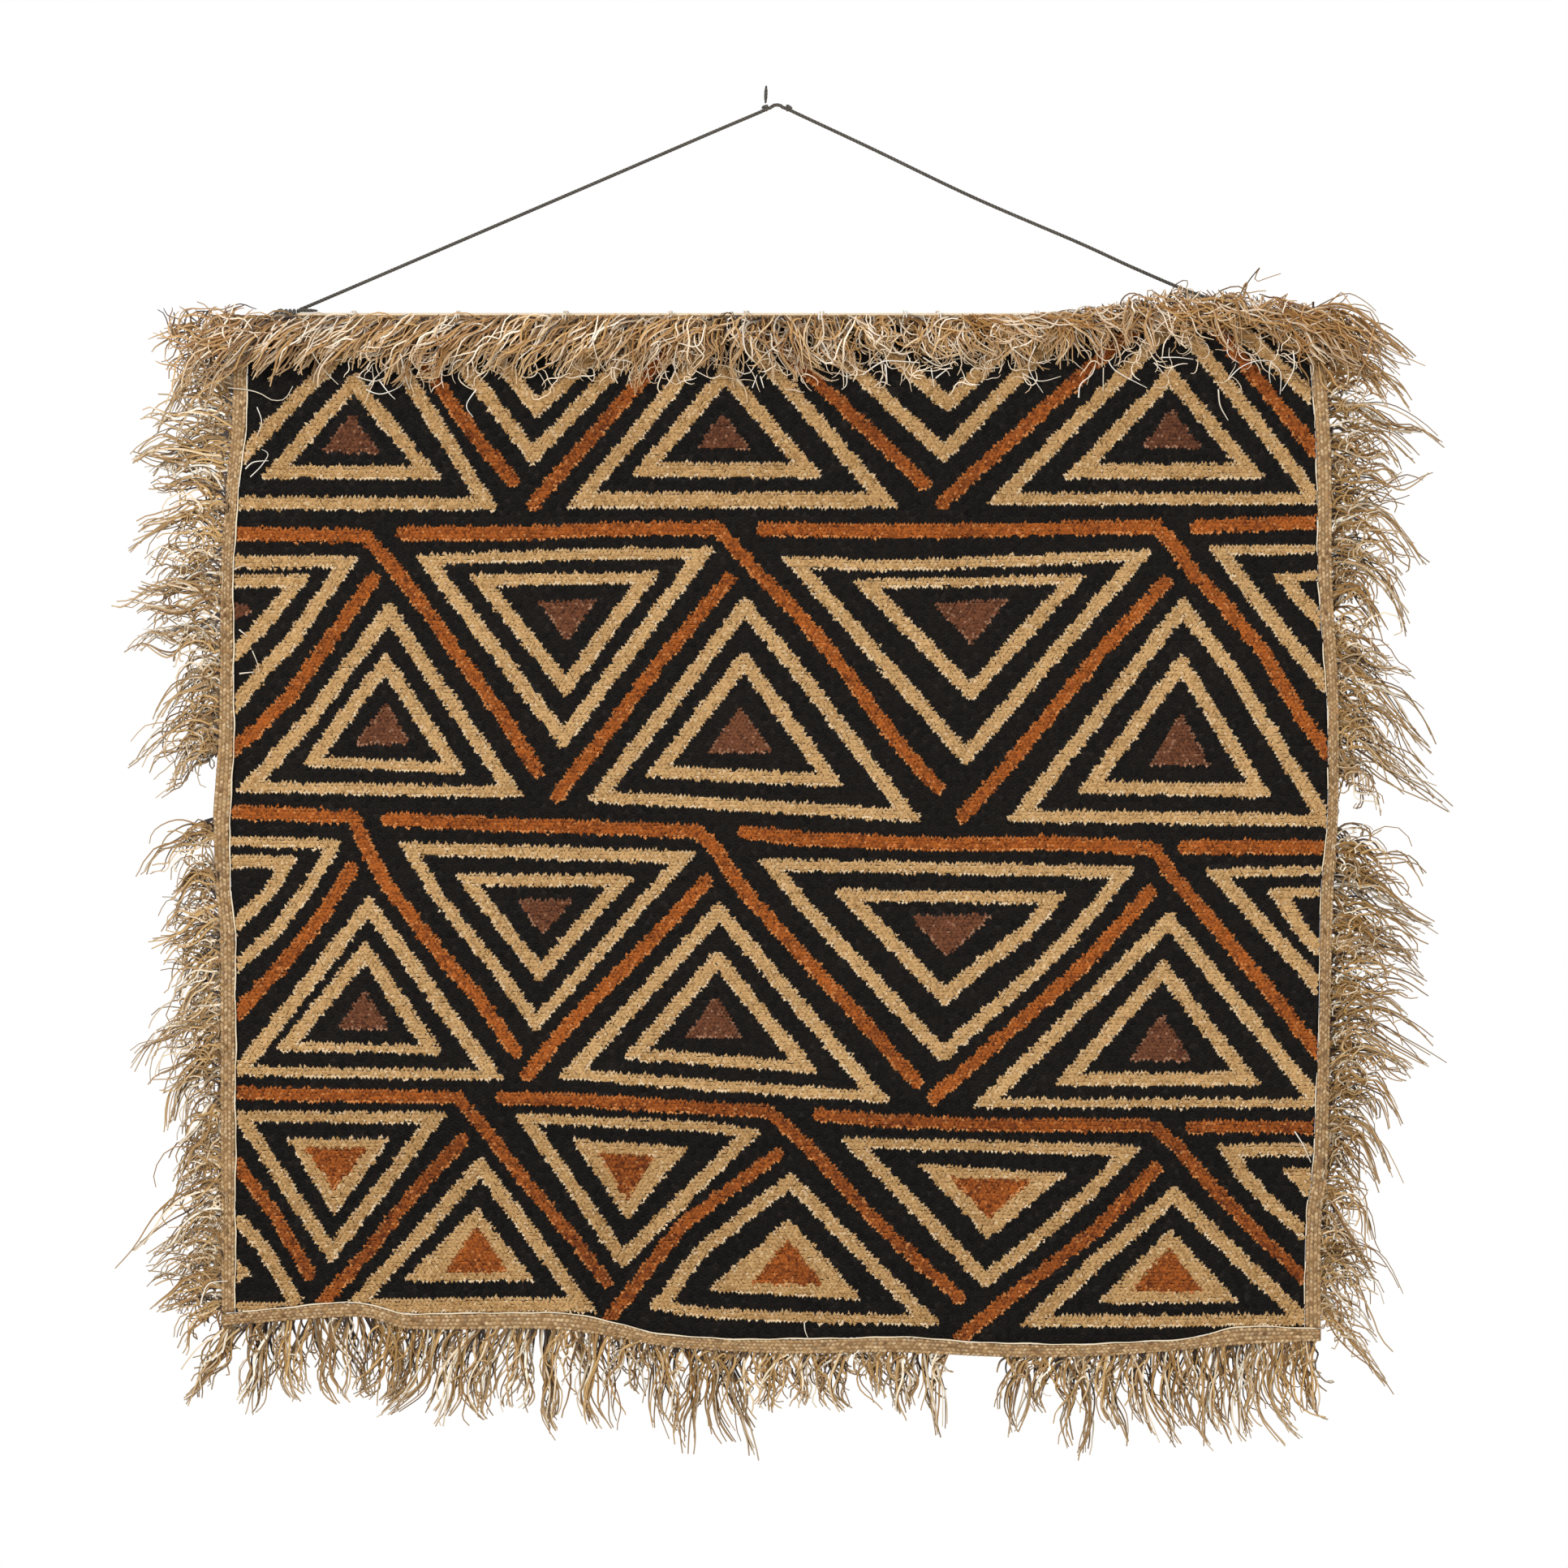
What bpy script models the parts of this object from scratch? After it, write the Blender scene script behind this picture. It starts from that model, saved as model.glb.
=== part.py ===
"""Kuba raffia cloth hung from a plain rod.

A cut-pile raffia panel has a plaited binding strip along each side and a
raffia fringe outside the strips. The fringe of the top edge flops forward
over the face. The top edge is sewn to a thin wooden rod behind it, and a cord
tied round both ends of the rod lies over a nail at its apex.

The origin is the hanging point, under the cord where it lies over the nail.
+X runs to the right across the face, +Y runs back to the wall and +Z runs up.
All sizes below are in millimetres.
"""

import math
from collections import namedtuple

import bmesh
import bpy
from mathutils import Matrix, Vector

MM = 0.001
GAP = 0.3

# The panel, its edges and its soft folds
PANEL_FRONT_Y = -10.2
PANEL_THICK = 3.0
PANEL_TOP_Z = -136.4
PANEL_COLUMNS = 30
PANEL_ROWS = 27

# The binding strips
BINDING_THICK = 3.6
BINDING_TOP_Z = -130.0
TOP_BINDING_STATIONS = 12

# The fringe: a narrow backing strip and tapering three-sided locks
BACKING_WIDTH = 1.6
BACKING_THICK = 2.4
ROOT_RADIUS = 1.7
TIP_RADIUS = 0.6
WIDE_SPACING = 12.0
ROOT_REACH = 2.8
MID_PITCH = 4.2
TIP_PITCH = 3.2
ALTERNATE = 1.1
STAGGER = (0.0, -6.0, -2.5, -8.0)
BACK_LAYER = 4.0
SIDE_BACKING_END_Z = -744.4
STRAND_STEPS = 4
RISE_PEAK = 6.75
TOP_BACKING_Z = -130.6
TOP_BACKING_SPAN = (-326.0, 329.0)
TOP_MID_Y = -17.2
TOP_TIP_Y = -16.0
TOP_LAYER = 3.6

# The rod
ROD_DIAMETER = 8.0
ROD_LEFT_X = -307.5
ROD_RIGHT_X = 325.0
ROD_Z = -131.5
ROD_SIDES = 24

# The hanging cord, its ties round the rod and its two knots
CORD_DIAMETER = 2.3
CORD_STEP = 7.5
TIE_TURNS = 4
TIE_PITCH = 2.5
TIE_VALLEY = 0.7
TIE_SHOULDER = 0.9
TIE_CHAMFER = 0.6
TIE_SIDES = 12
LEFT_TIE_X = -300.0
RIGHT_TIE_X = 316.5
KNOT_RADIUS = 2.5
SHARP_ANGLE = math.radians(35)

EdgePoint = namedtuple("EdgePoint", "along edge binding")

# Left edge of the panel: height, x of the edge, width of the binding strip
LEFT_EDGE = (
    EdgePoint(-130.0, -324.5, 8.5),
    EdgePoint(-196.0, -326.0, 8.5),
    EdgePoint(-246.0, -331.0, 7.5),
    EdgePoint(-286.0, -333.5, 7.5),
    EdgePoint(-386.0, -334.0, 9.0),
    EdgePoint(-436.0, -336.0, 10.5),
    EdgePoint(-443.5, -337.0, 9.5),
    EdgePoint(-486.0, -335.5, 9.0),
    EdgePoint(-511.0, -333.0, 9.0),
    EdgePoint(-620.0, -332.5, 9.0),
    EdgePoint(-755.0, -332.5, 8.0),
)

# Right edge of the panel, with the same columns
RIGHT_EDGE = (
    EdgePoint(-130.0, 328.5, 9.0),
    EdgePoint(-176.0, 331.0, 9.0),
    EdgePoint(-216.0, 333.5, 9.0),
    EdgePoint(-296.0, 334.5, 8.5),
    EdgePoint(-366.0, 339.5, 7.0),
    EdgePoint(-436.0, 340.0, 6.2),
    EdgePoint(-486.0, 336.0, 7.5),
    EdgePoint(-561.0, 335.0, 6.8),
    EdgePoint(-661.0, 331.0, 9.0),
    EdgePoint(-686.0, 327.5, 9.2),
    EdgePoint(-765.0, 326.5, 9.8),
)

# Bottom edge of the panel: x, height of the edge, width of the binding strip
BOTTOM_EDGE = (
    EdgePoint(-341.2, -745.5, 7.0),
    EdgePoint(-327.0, -744.0, 7.2),
    EdgePoint(-275.5, -738.5, 8.5),
    EdgePoint(-250.0, -739.0, 8.0),
    EdgePoint(-227.0, -745.0, 9.0),
    EdgePoint(-135.0, -745.5, 10.0),
    EdgePoint(-100.0, -750.5, 9.0),
    EdgePoint(-65.5, -758.5, 6.8),
    EdgePoint(7.5, -761.5, 8.6),
    EdgePoint(72.5, -760.5, 9.0),
    EdgePoint(147.5, -764.0, 8.0),
    EdgePoint(198.0, -763.5, 7.4),
    EdgePoint(251.5, -761.0, 6.5),
    EdgePoint(286.0, -754.5, 10.5),
    EdgePoint(336.5, -754.6, 7.5),
)

# Soft folds: where each is centred, how far it spreads, how far it comes forward
SoftFold = namedtuple("SoftFold", "x z half_width half_height forward")
SOFT_FOLDS = (
    SoftFold(-268.0, -742.0, 60.0, 90.0, 6.0),
    SoftFold(-150.0, -700.0, 55.0, 130.0, -4.0),
    SoftFold(-70.0, -760.0, 45.0, 110.0, 3.0),
    SoftFold(60.0, -690.0, 80.0, 150.0, -4.5),
    SoftFold(200.0, -700.0, 60.0, 170.0, 3.5),
    SoftFold(292.0, -745.0, 40.0, 80.0, -4.0),
    SoftFold(322.0, -400.0, 55.0, 130.0, 4.5),
    SoftFold(-330.0, -430.0, 50.0, 80.0, -4.0),
    SoftFold(-40.0, -400.0, 180.0, 110.0, -3.0),
    SoftFold(-300.0, -270.0, 60.0, 60.0, 2.5),
)

# A lock of the fringe: the stretch of edge it grows from, where its middle and
# its tip lie on the face plane, and how many strands it has
Lock = namedtuple("Lock", "start end mid_x mid_z tip_x tip_z strands")

LEFT_LOCKS = (
    Lock(-138, -158, -352, -151, -363, -171, 2),
    Lock(-160, -184, -360, -176, -375, -201, 3),
    Lock(-186, -206, -365, -201, -394, -206, 3),
    Lock(-207, -226, -368, -215, -397, -218, 3),
    Lock(-227, -244, -367, -231, -390, -240, 2),
    Lock(-246, -268, -364, -258, -391, -276, 3),
    Lock(-270, -292, -368, -286, -384, -295, 2),
    Lock(-294, -316, -372, -304, -407, -314, 3),
    Lock(-318, -336, -368, -328, -397, -332, 2),
    Lock(-338, -358, -360, -361, -384, -387, 3),
    Lock(-360, -378, -365, -383, -396, -405, 3),
    Lock(-380, -400, -365, -401, -385, -424, 3),
    Lock(-440, -452, -370, -458, -389, -476, 2),
    Lock(-470, -488, -362, -480, -376, -501, 2),
    Lock(-490, -512, -365, -506, -387, -521, 2),
    Lock(-514, -536, -360, -538, -375, -558, 3),
    Lock(-538, -560, -364, -567, -392, -589, 3),
    Lock(-562, -582, -362, -586, -382, -601, 3),
    Lock(-584, -606, -358, -608, -371, -638, 2),
    Lock(-610, -632, -356, -636, -370, -661, 3),
    Lock(-634, -656, -358, -656, -378, -686, 2),
    Lock(-660, -684, -362, -688, -395, -716, 3),
    Lock(-686, -710, -361, -708, -385, -722, 3),
    Lock(-712, -732, -363, -731, -381, -745, 2),
    Lock(-734, -744, -358, -751, -368, -770, 2),
)

RIGHT_LOCKS = (
    Lock(-138, -156, 368, -146, 405, -167, 2),
    Lock(-158, -178, 365, -164, 390, -188, 2),
    Lock(-180, -200, 372, -193, 415, -210, 3),
    Lock(-202, -222, 366, -214, 385, -223, 2),
    Lock(-224, -244, 370, -240, 403, -236, 2),
    Lock(-248, -270, 372, -260, 401, -286, 3),
    Lock(-272, -290, 373, -290, 391, -318, 2),
    Lock(-294, -312, 362, -304, 375, -330, 2),
    Lock(-316, -336, 365, -338, 390, -350, 2),
    Lock(-338, -356, 372, -361, 405, -396, 3),
    Lock(-358, -376, 368, -384, 396, -416, 3),
    Lock(-378, -396, 366, -402, 407, -431, 3),
    Lock(-398, -412, 360, -418, 372, -437, 2),
    Lock(-446, -462, 367, -466, 397, -482, 2),
    Lock(-464, -484, 372, -488, 403, -507, 3),
    Lock(-486, -508, 371, -508, 398, -526, 3),
    Lock(-510, -530, 372, -526, 406, -537, 3),
    Lock(-532, -552, 372, -547, 402, -553, 3),
    Lock(-554, -572, 375, -567, 417, -596, 3),
    Lock(-574, -594, 369, -586, 395, -609, 3),
    Lock(-596, -616, 363, -608, 380, -628, 2),
    Lock(-618, -638, 358, -629, 376, -658, 3),
    Lock(-640, -660, 354, -651, 367, -679, 2),
    Lock(-662, -684, 352, -682, 365, -706, 2),
    Lock(-686, -706, 356, -710, 385, -736, 3),
    Lock(-708, -728, 355, -732, 383, -767, 3),
    Lock(-730, -744, 354, -759, 380, -789, 3),
)

BOTTOM_LOCKS = (
    Lock(-341, -324, -347, -776, -363, -801, 3),
    Lock(-322, -304, -315, -781, -322, -805, 2),
    Lock(-302, -284, -294, -781, -285, -798, 2),
    Lock(-282, -262, -268, -780, -262, -799, 3),
    Lock(-246, -226, -239, -781, -252, -800, 3),
    Lock(-222, -204, -222, -786, -238, -807, 2),
    Lock(-202, -184, -203, -786, -210, -812, 3),
    Lock(-182, -164, -185, -792, -182, -811, 2),
    Lock(-162, -146, -162, -788, -166, -807, 2),
    Lock(-144, -128, -141, -788, -133, -822, 2),
    Lock(-126, -104, -114, -793, -110, -822, 3),
    Lock(-100, -82, -90, -779, -92, -792, 2),
    Lock(-78, -60, -68, -788, -65, -818, 2),
    Lock(-56, -38, -46, -794, -54, -830, 3),
    Lock(-36, -16, -27, -798, -15, -833, 3),
    Lock(-12, 4, -3, -791, -1, -809, 2),
    Lock(6, 22, 13, -791, 16, -810, 3),
    Lock(24, 44, 33, -787, 40, -805, 3),
    Lock(48, 68, 60, -784, 69, -803, 2),
    Lock(72, 88, 80, -791, 79, -811, 2),
    Lock(92, 106, 96, -793, 99, -821, 2),
    Lock(142, 158, 151, -791, 148, -818, 2),
    Lock(160, 176, 168, -789, 170, -808, 2),
    Lock(178, 196, 186, -798, 186, -830, 3),
    Lock(198, 216, 205, -798, 214, -826, 3),
    Lock(218, 236, 227, -798, 241, -828, 3),
    Lock(238, 256, 250, -800, 261, -819, 2),
    Lock(258, 276, 270, -803, 278, -828, 3),
    Lock(278, 296, 288, -801, 294, -826, 2),
    Lock(298, 316, 308, -798, 321, -823, 3),
    Lock(318, 334, 329, -796, 339, -813, 2),
)

# A lock of the top fringe also says how far it rises before it falls forward
TopLock = namedtuple("TopLock", Lock._fields + ("rise",))
TOP_LOCKS = (
    TopLock(-325, -310, -346, -146, -364, -167, 2, 3),
    TopLock(-308, -296, -328, -156, -348, -181, 2, 2),
    TopLock(-294, -277, -309, -152, -324, -172, 3, 0),
    TopLock(-275, -260, -289, -152, -303, -172, 2, 0),
    TopLock(-258, -240, -271, -151, -284, -168, 3, 0),
    TopLock(-238, -222, -250, -149, -263, -164, 2, 0),
    TopLock(-220, -202, -232, -151, -243, -173, 3, 0),
    TopLock(-200, -184, -211, -151, -225, -166, 2, 0),
    TopLock(-182, -164, -191, -151, -208, -170, 3, 0),
    TopLock(-162, -146, -171, -151, -186, -164, 2, 0),
    TopLock(-144, -126, -151, -151, -168, -171, 3, 0),
    TopLock(-122, -106, -126, -151, -142, -168, 2, 0),
    TopLock(-104, -86, -98, -149, -108, -164, 2, 0),
    TopLock(-84, -68, -78, -151, -80, -176, 3, 0),
    TopLock(-66, -50, -59, -150, -60, -171, 3, 0),
    TopLock(-48, -30, -38, -149, -40, -166, 2, 0),
    TopLock(-26, -6, -15, -149, -13, -171, 3, 0),
    TopLock(-2, 18, 12, -151, 24, -171, 3, 0),
    TopLock(22, 42, 35, -151, 46, -166, 3, 0),
    TopLock(48, 74, 62, -144, 69, -156, 2, 0),
    TopLock(78, 104, 97, -146, 108, -158, 3, 0),
    TopLock(108, 134, 122, -146, 131, -158, 3, 0),
    TopLock(138, 160, 151, -150, 149, -163, 2, 2),
    TopLock(164, 186, 173, -153, 170, -176, 3, 4),
    TopLock(190, 210, 198, -151, 195, -171, 2, 6),
    TopLock(214, 234, 222, -149, 218, -161, 3, 14),
    TopLock(238, 258, 245, -146, 244, -157, 3, 18),
    TopLock(262, 284, 274, -146, 269, -160, 3, 17),
    TopLock(288, 305, 300, -151, 303, -166, 2, 11),
    TopLock(307, 316, 338, -150, 362, -171, 2, 6),
    TopLock(317, 328, 356, -138, 392, -161, 1, 5),
)

# The two legs of the cord from rod to apex, each in order along the cord
RoutePoint = namedtuple("RoutePoint", "x z")
LEFT_LEG = (
    RoutePoint(-294.3, -125.4),
    RoutePoint(-286.0, -122.2),
    RoutePoint(-220.0, -93.9),
    RoutePoint(-110.0, -46.6),
    RoutePoint(-40.0, -16.4),
    RoutePoint(-9.4, -3.4),
)
RIGHT_LEG = (
    RoutePoint(11.4, -3.2),
    RoutePoint(60.0, -26.0),
    RoutePoint(122.5, -56.0),
    RoutePoint(187.5, -84.0),
    RoutePoint(222.5, -100.0),
    RoutePoint(259.5, -115.5),
    RoutePoint(290.0, -124.6),
    RoutePoint(310.6, -126.0),
)
BRIDGE = (
    RoutePoint(-2.9, -0.6),
    RoutePoint(-0.8, 0.9),
    RoutePoint(1.2, 1.15),
    RoutePoint(3.2, 0.8),
    RoutePoint(5.1, -0.6),
)
KNOT_TAIL = (
    RoutePoint(-5.9, 2.2),
    RoutePoint(-5.8, 6.0),
    RoutePoint(-5.5, 13.0),
)
LEFT_KNOT = RoutePoint(-6.0, -0.7)
RIGHT_KNOT = RoutePoint(8.3, -0.8)

Finish = namedtuple("Finish", "color roughness")
FINISHES = {
    "pile": Finish((0.085, 0.062, 0.042), 0.95),
    "plaited_raffia": Finish((0.56, 0.40, 0.21), 0.85),
    "raffia_fringe": Finish((0.50, 0.37, 0.20), 0.80),
    "pale_wood": Finish((0.74, 0.62, 0.50), 0.60),
    "dark_cord": Finish((0.085, 0.080, 0.072), 0.90),
}


def smooth_read(rows, along, column):
    """Read one column of an edge table on a smooth curve through its rows."""
    spots = [row.along for row in rows]
    values = [getattr(row, column) for row in rows]
    if spots[0] > spots[-1]:
        spots = [-spot for spot in spots]
        along = -along
    along = min(max(along, spots[0]), spots[-1])
    index = max(i for i in range(len(spots) - 1) if spots[i] <= along)
    slopes = []
    for i in (index, index + 1):
        before = max(i - 1, 0)
        after = min(i + 1, len(spots) - 1)
        slopes.append((values[after] - values[before]) / (spots[after] - spots[before]))
    span = spots[index + 1] - spots[index]
    share = (along - spots[index]) / span
    blend = share * share * (3.0 - 2.0 * share)
    rise_in = span * slopes[0] * share * (1.0 - share) ** 2
    rise_out = span * slopes[1] * share * share * (1.0 - share)
    return values[index] + blend * (values[index + 1] - values[index]) + rise_in - rise_out


def forward_of_folds(x, z):
    """Say how far the soft folds bring the cloth forward at a point of its face."""
    total = 0.0
    for fold in SOFT_FOLDS:
        across = (x - fold.x) / fold.half_width
        upward = (z - fold.z) / fold.half_height
        total += fold.forward * math.exp(-(across * across + upward * upward))
    return total


def space(x, y, z):
    """Turn millimetres into a point in metres."""
    return Vector((x, y, z)) * MM


def left_x(z):
    """The panel's left edge at a height."""
    return smooth_read(LEFT_EDGE, z, "edge")


def right_x(z):
    """The panel's right edge at a height."""
    return smooth_read(RIGHT_EDGE, z, "edge")


def bottom_z(x):
    """The panel's bottom edge at a place across."""
    return smooth_read(BOTTOM_EDGE, x, "edge")


def between(low, high, share):
    """Step from one value to another."""
    return low + (high - low) * share


def panel_corners():
    """The panel's four corners on the face plane, each as x and z."""
    foot_left_x = LEFT_EDGE[-1].edge
    foot_right_x = RIGHT_EDGE[-1].edge
    return (
        Vector((left_x(PANEL_TOP_Z), PANEL_TOP_Z)),
        Vector((right_x(PANEL_TOP_Z), PANEL_TOP_Z)),
        Vector((foot_left_x, bottom_z(foot_left_x))),
        Vector((foot_right_x, bottom_z(foot_right_x))),
    )


def panel_place(across, down):
    """Place a front point of the panel from its shares across and down."""
    top_left, top_right, foot_left, foot_right = panel_corners()
    left_z = between(top_left.y, foot_left.y, down)
    right_z = between(top_right.y, foot_right.y, down)
    foot_x = between(foot_left.x, foot_right.x, across)
    left_point = Vector((left_x(left_z), left_z))
    right_point = Vector((right_x(right_z), right_z))
    ruled_across = left_point.lerp(right_point, across)
    ruled_down = top_left.lerp(top_right, across).lerp(Vector((foot_x, bottom_z(foot_x))), down)
    corners = top_left.lerp(top_right, across).lerp(foot_left.lerp(foot_right, across), down)
    x, z = ruled_down + ruled_across - corners
    return space(x, PANEL_FRONT_Y - forward_of_folds(x, z), z)


def shares(count):
    """The shares 0 to 1 at both ends of each of some equal stretches."""
    return [index / count for index in range(count + 1)]


def side_stations(foot_z):
    """Heights where a side binding has a section: the panel's rows, and its head."""
    return [BINDING_TOP_Z] + [between(PANEL_TOP_Z, foot_z, down) for down in shares(PANEL_ROWS)]


def bottom_stations():
    """Where the bottom binding has a section: the panel's columns, and its two ends."""
    _, _, foot_left, foot_right = panel_corners()
    columns = [between(foot_left.x, foot_right.x, across) for across in shares(PANEL_COLUMNS)]
    return [BOTTOM_EDGE[0].along] + columns + [BOTTOM_EDGE[-1].along]


def read_straight(stations, values, along):
    """Read a line that runs straight from station to station."""
    for before, after, low, high in zip(stations, stations[1:], values, values[1:]):
        if min(before, after) <= along <= max(before, after):
            return between(low, high, (along - before) / (after - before))
    return values[0] if abs(along - stations[0]) < abs(along - stations[-1]) else values[-1]


def slab_shape(across_shares, stations, place, depth):
    """Make a closed slab: a grid placed by station and share, thickened by one straight step.

    Returns the shape, and the rows of front points at its inner and outer edges.
    """
    shape = bmesh.new()
    columns, rows = len(across_shares) - 1, len(stations) - 1
    bmesh.ops.create_grid(shape, x_segments=columns, y_segments=rows, size=0.5)
    inner, outer = {}, {}
    for vert in shape.verts:
        column = round((vert.co.x + 0.5) * columns)
        row = round((vert.co.y + 0.5) * rows)
        vert.co = place(across_shares[column], stations[row])
        if column == 0:
            inner[row] = vert
        if column == columns:
            outer[row] = vert
    grown = bmesh.ops.extrude_face_region(shape, geom=shape.faces[:])["geom"]
    far_side = [item for item in grown if isinstance(item, bmesh.types.BMVert)]
    bmesh.ops.translate(shape, verts=far_side, vec=depth)
    bmesh.ops.recalc_face_normals(shape, faces=shape.faces[:])
    return shape, [inner[row] for row in sorted(inner)], [outer[row] for row in sorted(outer)]


def add_object(name, shape, finish, collection):
    """Turn a bmesh into a named object of the part."""
    mesh = bpy.data.meshes.new(name)
    shape.to_mesh(mesh)
    shape.free()
    mesh.shade_smooth()
    mesh.set_sharp_from_angle(angle=SHARP_ANGLE)
    thing = bpy.data.objects.new(name, mesh)
    mesh.materials.append(material_of(finish))
    collection.objects.link(thing)
    return thing


def material_of(finish):
    """Give the Principled material of a finish, made once."""
    if finish in bpy.data.materials:
        return bpy.data.materials[finish]
    material = bpy.data.materials.new(finish)
    material.use_nodes = True
    shader = material.node_tree.nodes["Principled BSDF"]
    shader.inputs["Base Color"].default_value = (*FINISHES[finish].color, 1.0)
    shader.inputs["Roughness"].default_value = FINISHES[finish].roughness
    shader.inputs["Metallic"].default_value = 0.0
    return material


def build_panel(collection):
    """The cut-pile panel as one sheet with its true outline and folds."""
    shape, _, _ = slab_shape(
        shares(PANEL_COLUMNS), shares(PANEL_ROWS), panel_place, space(0.0, PANEL_THICK, 0.0)
    )
    add_object("cloth_panel", shape, "pile", collection)


def binding_front(x, z):
    """Front y of a binding strip, centred on the panel's thickness."""
    proud = (BINDING_THICK - PANEL_THICK) / 2
    return PANEL_FRONT_Y - proud - forward_of_folds(x, z)


def build_binding(name, stations, place, collection):
    """One plaited strip, placed by its share across and its station."""
    shape, _, _ = slab_shape((0.0, 1.0), stations, place, space(0.0, BINDING_THICK, 0.0))
    add_object(name, shape, "plaited_raffia", collection)


def build_side_binding(name, rows, side, foot_z, collection):
    """A strip along the left (-1) or right (+1) edge of the panel."""

    def place(across, z):
        near = smooth_read(rows, z, "edge") + side * GAP
        x = near + side * across * smooth_read(rows, z, "binding")
        return space(x, binding_front(x, z), z)

    build_binding(name, side_stations(foot_z), place, collection)


def build_bottom_binding(collection):
    """The strip along the foot, which runs under both side strips."""

    def place(across, x):
        z = bottom_z(x) - GAP - across * smooth_read(BOTTOM_EDGE, x, "binding")
        return space(x, binding_front(x, z), z)

    build_binding("binding_bottom", bottom_stations(), place, collection)


def build_top_binding(collection):
    """The strip along the head, between the two side strips."""

    def place(across, along):
        z = between(BINDING_TOP_Z, PANEL_TOP_Z + GAP, across)
        x = between(left_x(z) + GAP, right_x(z) - GAP, along)
        return space(x, binding_front(x, z), z)

    build_binding("binding_top", shares(TOP_BINDING_STATIONS), place, collection)


def outer_of_side(rows, side, foot_z, z):
    """The outer edge of a side binding, a gap away from it, where its fringe starts."""
    stations = side_stations(foot_z)
    reaches = [
        smooth_read(rows, height, "edge") + side * (smooth_read(rows, height, "binding") + 2 * GAP)
        for height in stations
    ]
    return read_straight(stations, reaches, z)


def outer_of_bottom(x):
    """The lower edge of the bottom binding, a gap away from it, where its fringe starts."""
    stations = bottom_stations()
    reaches = [
        bottom_z(spot) - smooth_read(BOTTOM_EDGE, spot, "binding") - 2 * GAP for spot in stations
    ]
    return read_straight(stations, reaches, x)


def curve_point(root, mid, tip, share):
    """Read the curve that leaves the root, passes the middle and ends at the tip."""
    pull = mid * 2.0 - (root + tip) / 2.0
    return root * (1.0 - share) ** 2 + pull * (2.0 * share * (1.0 - share)) + tip * share**2


def across_of(direction, along_edge):
    """A unit vector across a strand on the face plane, on the side of the edge's run."""
    across = Vector((-direction.z, 0.0, direction.x)).normalized()
    return across if across.dot(along_edge) > 0.0 else -across


def strand_curves(number, lock, root_at):
    """Give the root, middle and tip of each strand of one lock, in millimetres."""
    first = root_at(lock.start)
    last = root_at(lock.end)
    centre = (first + last) / 2.0
    mid = Vector((lock.mid_x, centre.y, lock.mid_z))
    tip = Vector((lock.tip_x, centre.y, lock.tip_z))
    mid_across = across_of(mid - centre, last - first)
    tip_across = across_of(tip - mid, last - first)
    ending = (tip - mid).normalized()
    curves = []
    for strand in range(lock.strands):
        share = (strand + 0.5) / lock.strands
        place = strand - (lock.strands - 1) / 2.0
        depth = Vector((0.0, ALTERNATE * (-1) ** strand, 0.0))
        root = root_at(between(lock.start, lock.end, share))
        strand_mid = mid + mid_across * (place * MID_PITCH) + depth
        strand_tip = tip + tip_across * (place * TIP_PITCH) + depth
        strand_tip += ending * STAGGER[(number + 2 * strand) % len(STAGGER)]
        curves.append((root, strand_mid, strand_tip))
    return curves


def side_strands(locks, root_at):
    """Strands of a hanging fringe: every second lock lies one layer further back."""
    strands = []
    for number, lock in enumerate(locks):
        back = BACK_LAYER * (1 - number % 2)
        for root, mid, tip in strand_curves(number, lock, root_at):
            mid.y += 0.6 * back
            tip.y += back
            centres = [curve_point(root, mid, tip, share) for share in shares(STRAND_STEPS)[1:]]
            strands.append((root, centres))
    return strands


def top_strands(locks, root_at):
    """Strands of the top fringe, which rise a little and fall over the face."""
    strands = []
    for number, lock in enumerate(locks):
        front = TOP_LAYER * (number % 2)
        for root, mid, tip in strand_curves(number, lock, root_at):
            mid.y += TOP_MID_Y - root.y - front
            tip.y += TOP_TIP_Y - root.y - front
            centres = []
            for share in shares(STRAND_STEPS)[1:]:
                centre = curve_point(root, mid, tip, share)
                centre.z += lock.rise * RISE_PEAK * share * (1.0 - share) ** 2
                centres.append(centre)
            strands.append((root, centres))
    return strands


def backing_joints(spots, stations, start, end):
    """Split the backing strip so that each strand grows from a stretch of its own.

    A joint near one of the binding's stations is moved onto it, so that the strip
    bends exactly where the binding beside it does.
    """
    joints = [start]
    for before, after in zip(spots, spots[1:]):
        if after - before > WIDE_SPACING:
            joints += [before + ROOT_REACH, after - ROOT_REACH]
        else:
            joints.append((before + after) / 2.0)
    joints.append(end)
    for station in sorted(stations):
        if not start < station < end:
            continue
        index = max(i for i in range(len(joints) - 1) if joints[i] <= station)
        root = next((spot for spot in spots if joints[index] < spot < joints[index + 1]), None)
        if root is None:
            joints.insert(index + 1, station)
        elif station < root and index > 0:
            joints[index] = station
        elif station > root and index + 1 < len(joints) - 1:
            joints[index + 1] = station
    return joints


def grow_strand(shape, face, root, centres):
    """Grow one tapering three-sided strand out of a face of the backing."""
    heading = face.normal.copy()
    side = face.verts[0].co - face.calc_center_median()
    side = (side - heading * side.dot(heading)).normalized()
    before = root * MM
    for step, centre in enumerate(centres, start=1):
        spot = centre * MM
        turned = (spot - before).normalized()
        side.rotate(heading.rotation_difference(turned))
        heading = turned
        share = step / len(centres)
        radius = between(ROOT_RADIUS, TIP_RADIUS, share**1.5) * MM
        face = bmesh.ops.extrude_discrete_faces(shape, faces=[face])["faces"][0]
        for corner, vert in enumerate(face.verts):
            turn = Matrix.Rotation(2.0 * math.pi * corner / 3.0, 3, heading)
            vert.co = spot + turn @ (side * radius)
        before = spot


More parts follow.
